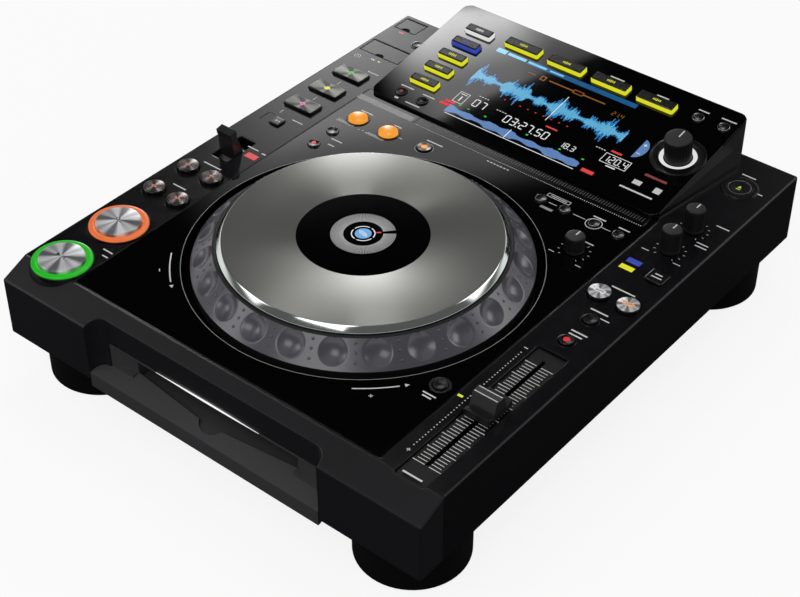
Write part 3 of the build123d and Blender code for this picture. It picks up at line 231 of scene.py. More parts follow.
# %% Acrylic for the deck, the display and the small buttons
WAVINESS, HAZE_PATCH = 45, 14


def acrylic(name, colour, roughness, **sockets):
    """Polished acrylic, with a faint haze that comes and goes over the surface."""
    material, tree, shader = start(name, colour, roughness, IOR=1.49, **sockets)
    place = grain(tree, shader, WAVINESS, 0.004, edge=0.3, detail=1.0)
    mottle(tree, shader, place, HAZE_PATCH, roughness, roughness + 0.012, "Roughness")
    return material


deck_acrylic = acrylic("polished_black_acrylic", "020203", 0.03)
glass_acrylic = acrylic("tinted_display_acrylic", "020203", 0.03)
button_acrylic = acrylic("black_button_acrylic", "0b0b0d", 0.18)
pad_acrylic = acrylic("smooth_touch_strip", "0a0a0c", 0.06)
window_acrylic = acrylic("coated_window_acrylic", "010101", 0.08, Specular_IOR_Level=0.05)
dress({
    "deck_panel": deck_acrylic,
    "display_glass": glass_acrylic,
    "jog_window": window_acrylic,
    "needle_pad": pad_acrylic,
    "optical_pickup": button_acrylic,
})


# %% [markdown]
# ## Spun metal
#
# The jog plate and the round caps are aluminium turned on a lathe. The tool leaves fine rings, and each
# ring reflects light across itself, which is what draws the bright fans from the centre to the rim. The
# shader's anisotropy does the same once its tangent points across the rings, which is simply the
# direction away from the centre. The big plate lies in one place, so its centre is a fixed point. The
# caps are many, and each carries its own centre in a UV map. They are too small for their fans to show
# sharply, so those are painted into the colour instead, as painted highlights and painted shade in two
# waves around the cap.

# %% Spun aluminium, with its rings around a given centre or around each cap's own centre
TOOL_RING = 0.9


def away_from_centre(tree, centre):
    """The direction and distance from a centre on the deck, or from each cap's own centre."""
    if centre:
        place = add(tree, "ShaderNodeTexCoord").outputs["Object"]
        middle = (centre[0] * MM, (front + centre[1]) * MM, 0)
        return add(tree, "ShaderNodeVectorMath", {0: place, 1: middle}, operation="SUBTRACT").outputs[0]
    place = add(tree, "ShaderNodeUVMap", uv_map="across").outputs["UV"]
    return add(tree, "ShaderNodeVectorMath", {0: place, "Scale": MM}, operation="SCALE").outputs[0]


def spun(
    name, colour, roughness, metallic=1.0, centre=None, anisotropy=0.8, depth=0.0,
    fans=0, dark=None, turn=0.0,
):
    """Turned metal. depth is that of its rings, fans is how many bright and dark fans a cap has, painted
    in its colour as painted highlights and painted shade.
    """
    material, tree, shader = start(name, colour, roughness, metallic, Anisotropic=anisotropy)
    away = away_from_centre(tree, centre)
    split = add(tree, "ShaderNodeSeparateXYZ", {0: away}).outputs
    flat = add(tree, "ShaderNodeVectorMath", {0: away, 1: (1, 1, 0)}, operation="MULTIPLY")
    tree.links.new(flat.outputs[0], shader.inputs["Tangent"])
    radius = add(tree, "ShaderNodeVectorMath", {0: flat.outputs[0]}, operation="LENGTH")
    rings = add(tree, "ShaderNodeCombineXYZ", {"X": radius.outputs["Value"]})
    rings = {"Vector": rings.outputs[0], "Scale": 1 / (TOOL_RING * MM), "Detail": 5.0}
    noise = add(tree, "ShaderNodeTexNoise", rings).outputs["Fac"]
    if depth:
        bump = add(tree, "ShaderNodeBump", {"Height": noise, "Distance": depth * MM, "Strength": 0.6})
        tree.links.new(bump.outputs["Normal"], shader.inputs["Normal"])
    gloss = {0: noise, 1: 0.3, 2: 0.7, 3: roughness - 0.04, 4: roughness + 0.05}
    gloss = add(tree, "ShaderNodeMapRange", gloss)
    tree.links.new(gloss.outputs[0], shader.inputs["Roughness"])
    # painted highlights and painted shade: the colour swings from the dark tone to the bright one in fans
    # round the centre
    if fans:
        around = add(tree, "ShaderNodeMath", {0: split["Y"], 1: split["X"]}, operation="ARCTAN2")
        angle = add(tree, "ShaderNodeMath", {0: around, 1: turn}, operation="ADD")
        slow = add(tree, "ShaderNodeMath", {0: angle, 1: fans}, operation="MULTIPLY")
        slow = add(tree, "ShaderNodeMath", {0: slow}, operation="SINE")
        quick = add(tree, "ShaderNodeMath", {0: angle, 1: fans * 2.0}, operation="MULTIPLY")
        quick = add(tree, "ShaderNodeMath", {0: quick}, operation="SINE")
        waves = add(tree, "ShaderNodeMath", {0: slow, 1: quick}, operation="ADD")
        share = add(tree, "ShaderNodeMapRange", {0: waves, 1: -1.1, 2: 1.3})
        fan = {0: share, 6: tone(dark), 7: tone(colour)}
        fan = add(tree, "ShaderNodeMix", fan, data_type="RGBA").outputs[2]
        tree.links.new(fan, shader.inputs["Base Color"])
    return material


# the clear lacquer over the plate and the caps hazes the metal a little, so it never turns quite black
plate_metal = spun("spun_aluminium_plate", "7a7a76", 0.2, 0.55, jog_spot, anisotropy=0.97, depth=0.01)
# the caps' bright and dark fans are painted highlights and painted shade in their colour
cap_metal = spun("spun_aluminium_cap", "f0f0f2", 0.34, 0.62, fans=4.0, dark="77777c", turn=0.9)
dark_cap_metal = spun("spun_dark_cap", "a39a96", 0.28, fans=2.0, dark="3c3634", turn=0.4)
rim_metal, _, _ = start("polished_aluminium_edge", "c9cfcc", 0.1, 1.0)
plated, _, _ = start("plated_steel", "a8a8a6", 0.28, 1.0)
print("metals:", [m.name for m in (plate_metal, cap_metal, dark_cap_metal, rim_metal, plated)])


# %% [markdown]
# ## Sheet metal, rubber and circuit board
#
# The pan under the machine and the plate at its back are folded steel with a black powder coat, which
# stands up in fine lumps like the skin of an orange. The screws are steel blackened with zinc, the drive
# roller is rubber, and the boards carry a green lacquer over copper tracks, drawn here as a faint grid.

# %% The finishes underneath and behind
def bare_metal(name, colour, roughness, size):
    """Metal with nothing on it but the fine marks of its making."""
    material, tree, shader = start(name, colour, roughness, 1.0)
    grain(tree, shader, size, 0.01)
    return material


coated_steel = moulded(
    "black_powder_coated_steel", "161618", "1c1c1f", 0.4, size=1.6, height=0.05, edge=0.4, level=0.5
)
blackened_steel = bare_metal("black_zinc_screw", "3a3a3c", 0.35, 0.8)
bright_steel = bare_metal("bright_turned_steel", "b8b8b6", 0.22, 0.6)
roller_rubber = moulded("dark_roller_rubber", "1a1a1a", "222222", 0.75, size=0.8, height=0.03, edge=0.2)
print("metals underneath:", [m.name for m in (coated_steel, blackened_steel, bright_steel)])

# %% The circuit boards' lacquer, with its tracks as a grid of 8 mm
board_lacquer, board_tree, board_shader = start(
    "green_board_lacquer", "1c4a2c", 0.3, Coat_Weight=0.3, Coat_Roughness=0.1
)
board_place = grain(board_tree, board_shader, 2.0, 0.02)
tracks = add(board_tree, "ShaderNodeTexBrick", {
    "Vector": board_place, 1: tone("1c4a2c"), 2: tone("205434"), 3: tone("2a6a40"),
    "Scale": 1 / (8 * MM), "Mortar Size": 0.03,
})
board_tree.links.new(tracks.outputs[0], board_shader.inputs["Base Color"])
dress({
    "base_pan": coated_steel,
    "rear_panel": coated_steel,
    "case_screws": blackened_steel,
    "disc_spindle": bright_steel,
    "loading_roller": roller_rubber,
    "electronics": board_lacquer,
})
print("nodes still without a finish of their own:", [n for n in nodes if not nodes[n].data.materials])

# %% [markdown]
# ## Inks and lights
#
# White print on the panels is a thin, slightly rough ink. Lit parts are translucent plastic with a lamp
# behind. A lamp behind plastic never glows evenly, so the colour is a little paler in the middle of each
# patch, which a slow noise gives. The screen's colours are made the same way, with the window's gloss.

# %% Print
def ink(name, colour, roughness=0.4):
    """A thin coat of print, with the faint tooth of dried ink."""
    material, tree, shader = start(name, colour, roughness)
    grain(tree, shader, 0.3, 0.004)
    return material


white_ink = ink("white_print", "d9d9d6")
# this grey is print, and at the jog bowl's rim a painted highlight
grey_marks_and_rim_highlight = ink("grey_marks_and_painted_rim_highlight", "8f8f8f")
print("inks:", white_ink.name, grey_marks_and_rim_highlight.name)


# %% Lamps behind plastic, and the screen's colours
GLOW_PATCH = 5
SCREEN_GLOSS = 0.06


def lit(name, colour, strength=1.0, base="101010", roughness=0.25, pale=None):
    """Plastic of a base colour that glows from one colour to a paler one."""
    material, tree, shader = start(name, base, roughness, Emission_Strength=strength)
    place = add(tree, "ShaderNodeTexCoord").outputs["Object"]
    noise = add(tree, "ShaderNodeTexNoise", {"Vector": place, "Scale": 1 / (GLOW_PATCH * MM)})
    glow = {0: noise.outputs["Fac"], 6: tone(colour), 7: tone(pale or colour)}
    glow = add(tree, "ShaderNodeMix", glow, data_type="RGBA").outputs[2]
    tree.links.new(glow, shader.inputs["Emission Color"])
    return material


green_lamp = lit("green_lit_ring", "14a814", 0.9, "062006", pale="22c022")
orange_lamp = lit("orange_lit_ring", "e06830", 0.92, "30120a", pale="ec7a40")
amber_lamp = lit("amber_lit_dome", "e88a20", 0.9, "603000", pale="ffb040")
yellow_lamp = lit("yellow_lit_key", "d8d81c", 0.9, "3a3a06", pale="e8e830")
blue_lamp = lit("blue_lit_key", "2c3ea0", 0.85, "0a0e30", pale="3a50c0")
white_lamp = lit("white_lit_key", "e6e6e6", 0.9, "404040")
red_lamp = lit("red_lit_mark", "d02028", 0.95, "300608", pale="e03038")
soft_lamp = lit("pale_lit_segment", "a0a0a0", 0.8, "202020", pale="b4b4b4")
blue_hub_lamp = lit("blue_lit_hub", "4f97d2", 0.9, "102030", pale="6ab0e6")
wave_lamp = lit("blue_screen_wave", "2a7cc4", 0.9, "04080c", SCREEN_GLOSS, "3c9ae0")
wave_pale_lamp = lit("pale_blue_screen_wave", "5ec0f0", 0.9, "04080c", SCREEN_GLOSS, "86d8ff")
overview_lamp = lit("slate_blue_screen_bar", "5f86c0", 0.8, "04060c", SCREEN_GLOSS, "7298d0")
header_lamp = lit("deep_blue_screen_bar", "1c5488", 0.8, "04060c", SCREEN_GLOSS, "2468a0")
amber_line_lamp = lit("amber_screen_line", "a06428", 0.8, "0a0602", SCREEN_GLOSS)
dim_red_lamp = lit("dim_red_mark", "7c2420", 0.8, "100404")
pink_lamp = lit("pink_lit_mark", "d060a0", 0.9, "301020")
eject_lamp = lit("yellow_green_mark", "b0d040", 0.9, "182008")
# a painted highlight: this glow stands for the light on the disc slot's lip, where there is no lamp
slot_highlight_finish = lit("painted_slot_lip_highlight", "f4f4f4", 1.0, "404040", pale="ffffff")
print("lamps:", len([m for m in bpy.data.materials if "lit" in m.name or "screen" in m.name]))

# %% The touch strip's ribs, the knobs' rubber and the pads' brushed tops
rib_ink = ink("dark_strip_rib", "2c2c2e", 0.3)
knob_rubber = moulded("matt_black_knob", "101011", "151516", 0.42, size=0.9, height=0.02, edge=0.3)
# the pads' bright and dark fans are painted highlights and painted shade in their colour
pad_metal = spun("brushed_pad_metal", "84847f", 0.3, fans=2.0, dark="1c1c1b", turn=0.4)
print("for the controls:", [m.name for m in (rib_ink, knob_rubber, pad_metal)])


# %% [markdown]
# ## A maker of round and rectangular parts
#
# Caps, keys, rings, knobs and pads are all the same idea: an outline that is stacked at several heights,
# a little narrower or wider each time. A rounded rectangle whose corner radius is half its width is a
# circle, so one function makes them all. Each height is written as a pair: how far the outline is drawn
# in there, and how high it is.

# %% Outlines, and profiles with soft corners
WELD = 1e-7  # points closer than this many metres are one point


def rounded(width, depth, corner, steps=8):
    """Points of a rounded rectangle, anticlockwise from above."""
    corner = min(corner, width / 2, depth / 2)
    points = []
    for quarter in range(4):
        x = (width / 2 - corner) * (1 if quarter in (0, 3) else -1)
        y = (depth / 2 - corner) * (1 if quarter in (0, 1) else -1)
        for step in range(steps + 1):
            angle = (quarter + step / steps) * pi / 2
            points.append((x + corner * cos(angle), y + corner * sin(angle)))
    return points


def soften(levels, radius, steps=4):
    """Round the inner corners of a profile of (inset, height) pairs, each with a small curve."""
    made = [levels[0]]
    for before, here, after in zip(levels, levels[1:], levels[2:]):
        a, b, c = Vector(before), Vector(here), Vector(after)
        reach = min(radius, (a - b).length * 0.45, (c - b).length * 0.45)
        first, last = b + (a - b).normalized() * reach, b + (c - b).normalized() * reach
        for step in range(steps + 1):
            t = step / steps
            made.append(tuple((1 - t) ** 2 * first + 2 * t * (1 - t) * b + t * t * last))
    made.append(levels[-1])
    return made


print("a circle of radius 1 starts at", rounded(2, 2, 1)[0])
print("a square edge of 3 levels, softened, has", len(soften([(0, 0), (0, 2), (2, 2)], 1)), "levels")


# %% From a mesh to a piece that rides on its body
def weld(shape):
    """Merge double points and turn every face outwards."""
    bmesh.ops.remove_doubles(shape, verts=shape.verts, dist=WELD)
    bmesh.ops.recalc_face_normals(shape, faces=shape.faces)


def keep_mesh(name, shape):
    """Keep a finished shape as a mesh."""
    mesh = bpy.data.meshes.new(name)
    shape.to_mesh(mesh)
    shape.free()
    return mesh


def finish_piece(name, mesh, body, materials, stands_for=()):
    """Link a mesh at the origin, give it its materials and let it ride on its body."""
    piece = bpy.data.objects.new(name, mesh)
    bpy.context.scene.collection.objects.link(piece)
    for material in materials:
        mesh.materials.append(material)
    if stands_for:
        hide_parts(*stands_for)
    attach(piece, body)
    return piece


print("pieces are welded at", WELD, "m")

# %% [markdown]
# The stack itself joins each outline to the next with faces. Every point also remembers how far it is
# from the part's own centre, in a UV map named "across", because the spun metal needs it. An edge that
# bends by more than a given angle stays sharp, and the others are shaded smooth.

# %% Parts stacked from outlines
def stack(
    name, surface, spots, size, levels, body, materials, stands_for=(), slot=None,
    closed=False, steps=8, sharp=40, mark=None,
):
    """Loft rounded rectangles of a size (width, depth, corner), each inset and raised as levels say.

    closed joins the last level to the first, as on a ring. mark(inset) picks a face's material."""
    shape = bmesh.new()
    across = shape.loops.layers.uv.new("across")
    width, depth, corner = size

    def add_face(corners, inset, smooth):
        face = shape.faces.new([point for point, _ in corners])
        face.smooth = smooth
        face.material_index = mark(inset) if mark else 0
        for loop, (_, xy) in zip(face.loops, corners):
            loop[across].uv = xy

    for spot in spots:
        home = surface @ Matrix.Translation((*spot, 0))
        loops = []
        for inset, height in levels:
            outline = rounded(width - 2 * inset, depth - 2 * inset, corner - inset, steps)
            if inset >= min(width, depth) / 2 - 1e-6 and not closed:
                outline = [(0, 0)]
            points = [shape.verts.new(home @ Vector((x, y, height)) * MM) for x, y in outline]
            loops.append(list(zip(points, outline)))
        pairs = list(zip(loops, loops[1:])) + ([(loops[-1], loops[0])] if closed else [])
        for number, (low, high) in enumerate(pairs):
            inset = levels[(number + 1) % len(levels)][0]
            for i in range(len(low)):
                j = (i + 1) % len(low)
                above = [high[j], high[i]] if len(high) > 1 else high
                add_face([low[i], low[j], *above], inset, True)
        if not closed:
            for outline, (inset, _) in ((loops[0], levels[0]), (loops[-1], levels[-1])):
                if len(outline) > 1:
                    add_face(outline, inset, False)
    weld(shape)
    for edge in shape.edges:
        if len(edge.link_faces) == 2 and edge.calc_face_angle(0) > radians(sharp):
            edge.smooth = False
    return finish_piece(name, keep_mesh(name, shape), body, materials, stands_for)


print("a stack of circles has", len(rounded(2, 2, 1)), "points to a level before doubles are merged")


# %% [markdown]
# ## A maker of flat marks
#
# Printed marks and lit symbols are thin films. Each is drawn as a flat outline and given 0.05 mm of
# thickness, so that it has a top and an edge and never flickers against the surface below it.

# %% Flat shapes
def placed(corners, x, y, turn):
    """Corners turned about the origin and moved to x, y."""
    return [(x + u * cos(turn) - v * sin(turn), y + u * sin(turn) + v * cos(turn)) for u, v in corners]


def bar(x, y, width, depth, turn=0.0):
    u, v = width / 2, depth / 2
    return placed([(-u, -v), (u, -v), (u, v), (-u, v)], x, y, turn)


def bars(*rows):
    """One bar for each row of x, y, width, depth and, if it leans, turn."""
    return [bar(*row) for row in rows]


def arrow(x, y, size, turn=0.0):
    return placed([(size * 0.6, 0), (-size * 0.4, size / 2), (-size * 0.4, -size / 2)], x, y, turn)


def dot(x, y, radius, count=24):
    return [(x + radius * cos(tau * i / count), y + radius * sin(tau * i / count)) for i in range(count)]


def band(x, y, inner, outer, first=0.0, last=360.0, count=48):
    """Pieces of a ring or an arc, as four-cornered shapes."""
    angles = [radians(first + (last - first) * i / count) for i in range(count + 1)]
    pieces = []
    for a0, a1 in zip(angles, angles[1:]):
        corners = ((inner, a0), (outer, a0), (outer, a1), (inner, a1))
        pieces.append([(x + r * cos(a), y + r * sin(a)) for r, a in corners])
    return pieces


def frame_of(x, y, width, depth, line):
    """Four bars round a rectangle."""
    return bars(
        (x, y + (depth - line) / 2, width, line),
        (x, y - (depth - line) / 2, width, line),
        (x - (width - line) / 2, y, line, depth - 2 * line),
        (x + (width - line) / 2, y, line, depth - 2 * line),
    )


print("a full band has", len(band(0, 0, 1, 2)), "pieces and a frame", len(frame_of(0, 0, 4, 4, 1)))


# %% Figures of seven strokes
# each stroke's middle, as a share of the figure's width and height, and whether it stands upright
STROKES = {
    "a": (0.5, 1, False), "b": (1, 0.75, True), "c": (1, 0.25, True), "d": (0.5, 0, False),
    "e": (0, 0.25, True), "f": (0, 0.75, True), "g": (0.5, 0.5, False),
}
FIGURES = {
    "0": "abcdef", "1": "bc", "2": "abged", "3": "abgcd", "4": "fgbc", "5": "afgcd",
    "6": "afgedc", "7": "abc", "8": "abcdefg", "9": "abcdfg",
}


def digits(text, x, y, size, narrow=1.0):
    """Seven-stroke figures as flat shapes; the left end of the text is at x."""
    shapes, wide = [], 0.5 * size * narrow
    for sign in text:
        if sign in FIGURES:
            for stroke in FIGURES[sign]:
                u, v, upright = STROKES[stroke]
                w, d = (0.11 * size, 0.44 * size) if upright else (wide - 0.14 * size, 0.11 * size)
                shapes.append(bar(x + u * wide, y + (v - 0.5) * size, w, d))
            x += wide + 0.28 * size
        else:
            points = (-0.5, 0.1) if sign == ":" else (-0.5,)
            shapes += [bar(x, y + level * size, 0.13 * size, 0.13 * size) for level in points]
            x += 0.26 * size
    return shapes


print("four figures take", len(digits("0123", 0, 0, 5)), "strokes")


# %% Films cut to flat shapes
THIN = 0.05


def film(name, surface, shapes, height, body, material):
    """A film on a surface, cut to the given flat shapes."""
    cut = bmesh.new()
    for shape in shapes:
        low = [cut.verts.new(surface @ Vector((x, y, height)) * MM) for x, y in shape]
        high = [cut.verts.new(surface @ Vector((x, y, height + THIN)) * MM) for x, y in shape]
        cut.faces.new(high)
        cut.faces.new(low[::-1])
        for i in range(len(low)):
            j = (i + 1) % len(low)
            cut.faces.new((low[i], low[j], high[j], high[i]))
    weld(cut)
    return finish_piece(name, keep_mesh(name, cut), body, [material])


print("films are", THIN, "mm thick")


# %% [markdown]
# ## Repeats with Geometry Nodes
#
# Ribs, dial ticks, the fader's comb and the screen's waveform are one small bar, many times over. One
# tree puts bars on points that either run round a circle or march in rows. It ends by making the
# instances real and giving them their material, because a finished piece has to be a plain mesh.

# %% The start and the end that every tree shares
def begin_tree(name, inputs):
    """A tree with named inputs and one mesh as its result. Gives the tree and its inputs' sockets."""
    tree = bpy.data.node_groups.new(name, "GeometryNodeTree")
    for title, kind, value in inputs + [("Finish", "Material", None)]:
        socket = tree.interface.new_socket(title, in_out="INPUT", socket_type="NodeSocket" + kind)
        if value is not None:
            socket.default_value = value
    tree.interface.new_socket("Geometry", in_out="OUTPUT", socket_type="NodeSocketGeometry")
    return tree, add(tree, "NodeGroupInput").outputs


def end_tree(tree, geometry, finish):
    """Make instances real, give them their material and hand the mesh out."""
    real = add(tree, "GeometryNodeRealizeInstances", {0: geometry})
    dressed = add(tree, "GeometryNodeSetMaterial", {"Geometry": real.outputs[0], "Material": finish})
    add(tree, "NodeGroupOutput", {0: dressed.outputs[0]})
    return tree


print("trees end in Realize Instances and Set Material")


# %% A tree that repeats a bar round an arc or along a row
def repeat_tree():
    tree, given = begin_tree("repeated_bars", [
        ("Count", "Int", 12),
        ("Radius", "Float", 0.0),
        ("First angle", "Float", 0.0),
        ("Step angle", "Float", 0.0),
        ("Step along", "Vector", (0, 0, 0)),
        ("Bar", "Vector", (0.001, 0.001, 0.001)),
        ("Uneven", "Float", 0.0),
        ("Swell", "Float", 0.0),
        ("Swell step", "Float", 0.0),
        ("Seed", "Int", 3),
    ])
    number = add(tree, "GeometryNodeInputIndex")
    angle = add(tree, "ShaderNodeMath", {0: number, 1: given["Step angle"]}, operation="MULTIPLY")
    angle = add(tree, "ShaderNodeMath", {0: angle, 1: given["First angle"]}, operation="ADD")
    spoke = add(tree, "ShaderNodeCombineXYZ", {
        "X": add(tree, "ShaderNodeMath", {0: angle}, operation="COSINE"),
        "Y": add(tree, "ShaderNodeMath", {0: angle}, operation="SINE"),
    })
    arc = add(tree, "ShaderNodeVectorMath", {0: spoke, "Scale": given["Radius"]}, operation="SCALE")
    row = {0: given["Step along"], "Scale": number}
    row = add(tree, "ShaderNodeVectorMath", row, operation="SCALE")
    spot = add(tree, "ShaderNodeVectorMath", {0: arc, 1: row})
    # chance makes some bars shorter
    chance = {2: 0.0, 3: 1.0, "ID": number, "Seed": given["Seed"]}
    chance = add(tree, "FunctionNodeRandomValue", chance, data_type="FLOAT").outputs[1]
    shorter = add(tree, "ShaderNodeMath", {0: chance, 1: given["Uneven"]}, operation="MULTIPLY")
    tall = add(tree, "ShaderNodeMath", {0: 1.0, 1: shorter}, operation="SUBTRACT")
    # two slow waves of unlike length make the rows of bars swell and fade unevenly, as music does
    beat = add(tree, "ShaderNodeMath", {0: number, 1: given["Swell step"]}, operation="MULTIPLY")
    quick = add(tree, "ShaderNodeMath", {0: beat, 1: 2.618}, operation="MULTIPLY")
    beat = add(tree, "ShaderNodeMath", {0: beat}, operation="COSINE")
    quick = add(tree, "ShaderNodeMath", {0: quick}, operation="COSINE")
    waves = add(tree, "ShaderNodeMath", {0: beat, 1: quick}, operation="ADD")
    fade = add(tree, "ShaderNodeMapRange", {0: waves, 1: 1.6, 2: -1.2})
    fade = add(tree, "ShaderNodeMath", {0: fade, 1: given["Swell"]}, operation="MULTIPLY")
    left = add(tree, "ShaderNodeMath", {0: 1.0, 1: fade}, operation="SUBTRACT")
    tall = add(tree, "ShaderNodeMath", {0: tall, 1: left}, operation="MULTIPLY")
    bars_on_points = add(tree, "GeometryNodeInstanceOnPoints", {
        "Points": add(tree, "GeometryNodePoints", {"Count": given["Count"], "Position": spot}),
        "Instance": add(tree, "GeometryNodeMeshCube", {"Size": given["Bar"]}).outputs["Mesh"],
        "Rotation": add(tree, "ShaderNodeCombineXYZ", {"Z": angle}),
        "Scale": add(tree, "ShaderNodeCombineXYZ", {"X": 1.0, "Y": tall, "Z": 1.0}),
    })
    return end_tree(tree, bars_on_points.outputs[0], given["Finish"])


bar_tree = repeat_tree()
print("the tree has inputs", [item.name for item in bar_tree.interface.items_tree][:4], "and more")


# %% Running a tree and keeping its result
def grow(name, tree, sizes, surface, body, spots=((0, 0),), height=0.0):
    """Run a tree with its named inputs, and keep the result as a plain mesh on a surface."""
    carrier = bpy.data.objects.new(name + "_carrier", bpy.data.meshes.new(name + "_carrier"))
    bpy.context.scene.collection.objects.link(carrier)
    modifier = carrier.modifiers.new("grow", "NODES")
    modifier.node_group = tree
    sockets = {item.name: item.identifier for item in tree.interface.items_tree if item.in_out == "INPUT"}
    for title, value in sizes.items():
        modifier[sockets[title]] = value
    bpy.context.view_layer.update()
    grown = bpy.data.meshes.new_from_object(carrier.evaluated_get(bpy.context.evaluated_depsgraph_get()))
    bpy.data.objects.remove(carrier)
    shape = bmesh.new()
    to_metres, to_mm = Matrix.Scale(MM, 4), Matrix.Scale(1 / MM, 4)
    for spot in spots:
        copy = grown.copy()
        copy.transform(to_metres @ surface @ Matrix.Translation((*spot, height)) @ to_mm)
        shape.from_mesh(copy)
        bpy.data.meshes.remove(copy)
    materials = [material for material in grown.materials if material]
    bpy.data.meshes.remove(grown)
    return finish_piece(name, keep_mesh(name, shape), body, materials)


def thin_bar(width, depth, height=THIN):
    """The size of a tree's bar, in metres."""
    return width * MM, depth * MM, height * MM


print("a tick is", thin_bar(1.3, 0.35), "m")


# %% [markdown]
# ## The jog wheel's grip ring
#
# The grip is a cone of smoked polycarbonate with a row of round dimples for the fingertips and three
# small raised dots between each pair. The CAD ring has the dimples as cut spheres; for the render the
# cone is a fine grid that a tree rolls up into a ring, and each point is lowered by the depth of the
# sphere it lies in. The shape follows one rule all the way round, so a tree suits it better than cuts.

# %% Smoked polycarbonate, and a near-black for painted shade in joints and for dark print
smoked, smoked_tree, smoked_shader = start(
    "smoked_polycarbonate", "46464e", 0.3, IOR=1.58, Coat_Weight=0.3, Coat_Roughness=0.2
)
mottle(smoked_tree, smoked_shader, grain(smoked_tree, smoked_shader, 6, 0.01), 25, "42424a", "4c4c54")
shade_and_dark_print, dark_tree, dark_shader = start("near_black_painted_shade_and_print", "050505", 0.6)
grain(dark_tree, dark_shader, 2, 0.01)
print("for the grip:", smoked.name, "and", shade_and_dark_print.name)

# %% The grip's cone: its foot and its neck, as radius and height above the deck
FOOT_RADIUS, FOOT_RISE = 103.5, 0.2
NECK_RADIUS, NECK_RISE = 89.8, 13.2
DIMPLES, DIMPLE_CIRCLE = 24, 95.6
CONE_RISE, CONE_RUN = NECK_RISE - FOOT_RISE, FOOT_RADIUS - NECK_RADIUS
print("the cone leans", round(CONE_RUN / CONE_RISE, 2), "mm out for each mm down")


# %% The ring's grid, rolled up and dimpled
def ring_tree():
    tree, given = begin_tree("dimpled_ring", [
        ("Foot radius", "Float", FOOT_RADIUS * MM),
        ("Top radius", "Float", NECK_RADIUS * MM),
        ("Shoulder", "Float", FOOT_RISE * MM),
        ("Crest", "Float", NECK_RISE * MM),
        ("Dimples", "Float", float(DIMPLES)),
        ("Dimple circle", "Float", DIMPLE_CIRCLE * MM),
        ("Dimple radius", "Float", 8.3 * MM),
        ("Dimple depth", "Float", 2.6 * MM),
    ])
    grid = {"Size X": 1.0, "Size Y": 1.0, "Vertices X": 1153, "Vertices Y": 33}
    grid = add(tree, "GeometryNodeMeshGrid", grid).outputs["Mesh"]
    here = add(tree, "GeometryNodeInputPosition")
    split = add(tree, "ShaderNodeSeparateXYZ", {0: here}).outputs
    known = {"x": split["X"], "y": split["Y"], **{socket.name: socket for socket in given if socket.name}}
    # each row is one Math node: the name of what it gives, its operation and its terms
    for name, operation, *terms in (
        # the grid's X goes once round the ring, and its Y goes up the cone
        ("turned", "ADD", "x", 0.5),
        ("angle", "MULTIPLY", "turned", tau),
        ("share", "ADD", "y", 0.5),
        ("narrower", "SUBTRACT", "Top radius", "Foot radius"),
        ("inward", "MULTIPLY", "share", "narrower"),
        ("radius", "ADD", "Foot radius", "inward"),
        ("rise", "SUBTRACT", "Crest", "Shoulder"),
        ("run", "SUBTRACT", "Foot radius", "Top radius"),
        ("upward", "MULTIPLY", "share", "rise"),
        ("height", "ADD", "Shoulder", "upward"),
        ("rise squared", "MULTIPLY", "rise", "rise"),
        ("run squared", "MULTIPLY", "run", "run"),
        ("slant squared", "ADD", "rise squared", "run squared"),
        ("slant", "SQRT", "slant squared"),
        # how far round the cone the nearest dimple's middle is
        ("pitch", "DIVIDE", tau, "Dimples"),
        ("pitches", "DIVIDE", "angle", "pitch"),
        ("nearest", "ROUND", "pitches"),
        ("nearest angle", "MULTIPLY", "nearest", "pitch"),
        ("off", "SUBTRACT", "angle", "nearest angle"),
        ("sine off", "SINE", "off"),
        ("around", "MULTIPLY", "sine off", "radius"),
        # how far along the cone it is
        ("cosine off", "COSINE", "off"),
        ("facing", "MULTIPLY", "radius", "cosine off"),
        ("inside", "SUBTRACT", "Dimple circle", "facing"),
        ("runs inside", "DIVIDE", "inside", "run"),
        ("along", "MULTIPLY", "runs inside", "slant"),
        # and so how far away
        ("around squared", "MULTIPLY", "around", "around"),
        ("along squared", "MULTIPLY", "along", "along"),
        ("away squared", "ADD", "around squared", "along squared"),
        ("away", "SQRT", "away squared"),
        # a bowl as deep as the sphere is there, with a soft lip
        ("reach", "DIVIDE", "away", "Dimple radius"),
        ("reach squared", "MULTIPLY", "reach", "reach"),
        ("hollow", "SUBTRACT", 1.0, "reach squared"),
        ("bowl", "MULTIPLY", "hollow", "Dimple depth"),
        ("depth", "SMOOTH_MAX", "bowl", 0.0, 0.5 * MM),
        # the point sinks square to the cone
        ("rise share", "DIVIDE", "rise", "slant"),
        ("run share", "DIVIDE", "run", "slant"),
        ("sunk inward", "MULTIPLY", "depth", "rise share"),
        ("sunk down", "MULTIPLY", "depth", "run share"),
        ("new radius", "SUBTRACT", "radius", "sunk inward"),
        ("new height", "SUBTRACT", "height", "sunk down"),
        ("cosine", "COSINE", "angle"),
        ("sine", "SINE", "angle"),
        ("new x", "MULTIPLY", "new radius", "cosine"),
        ("new y", "MULTIPLY", "new radius", "sine"),
    ):
        terms = {slot: known.get(term, term) for slot, term in enumerate(terms)}
        known[name] = add(tree, "ShaderNodeMath", terms, operation=operation)
    spot = {"X": known["new x"], "Y": known["new y"], "Z": known["new height"]}
    spot = add(tree, "ShaderNodeCombineXYZ", spot)
    rolled = add(tree, "GeometryNodeSetPosition", {"Geometry": grid, "Position": spot})
    closed = add(tree, "GeometryNodeMergeByDistance", {"Geometry": rolled.outputs[0], "Distance": 1e-6})
    smooth = add(tree, "GeometryNodeSetShadeSmooth", {"Geometry": closed.outputs[0]})
    return end_tree(tree, smooth.outputs[0], given["Finish"])


grip = grow("jog_grip_ring", ring_tree(), {"Finish": smoked}, DECK, "jog", [jog_spot])
print("grip ring faces:", len(grip.data.polygons))
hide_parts("jog_ring")
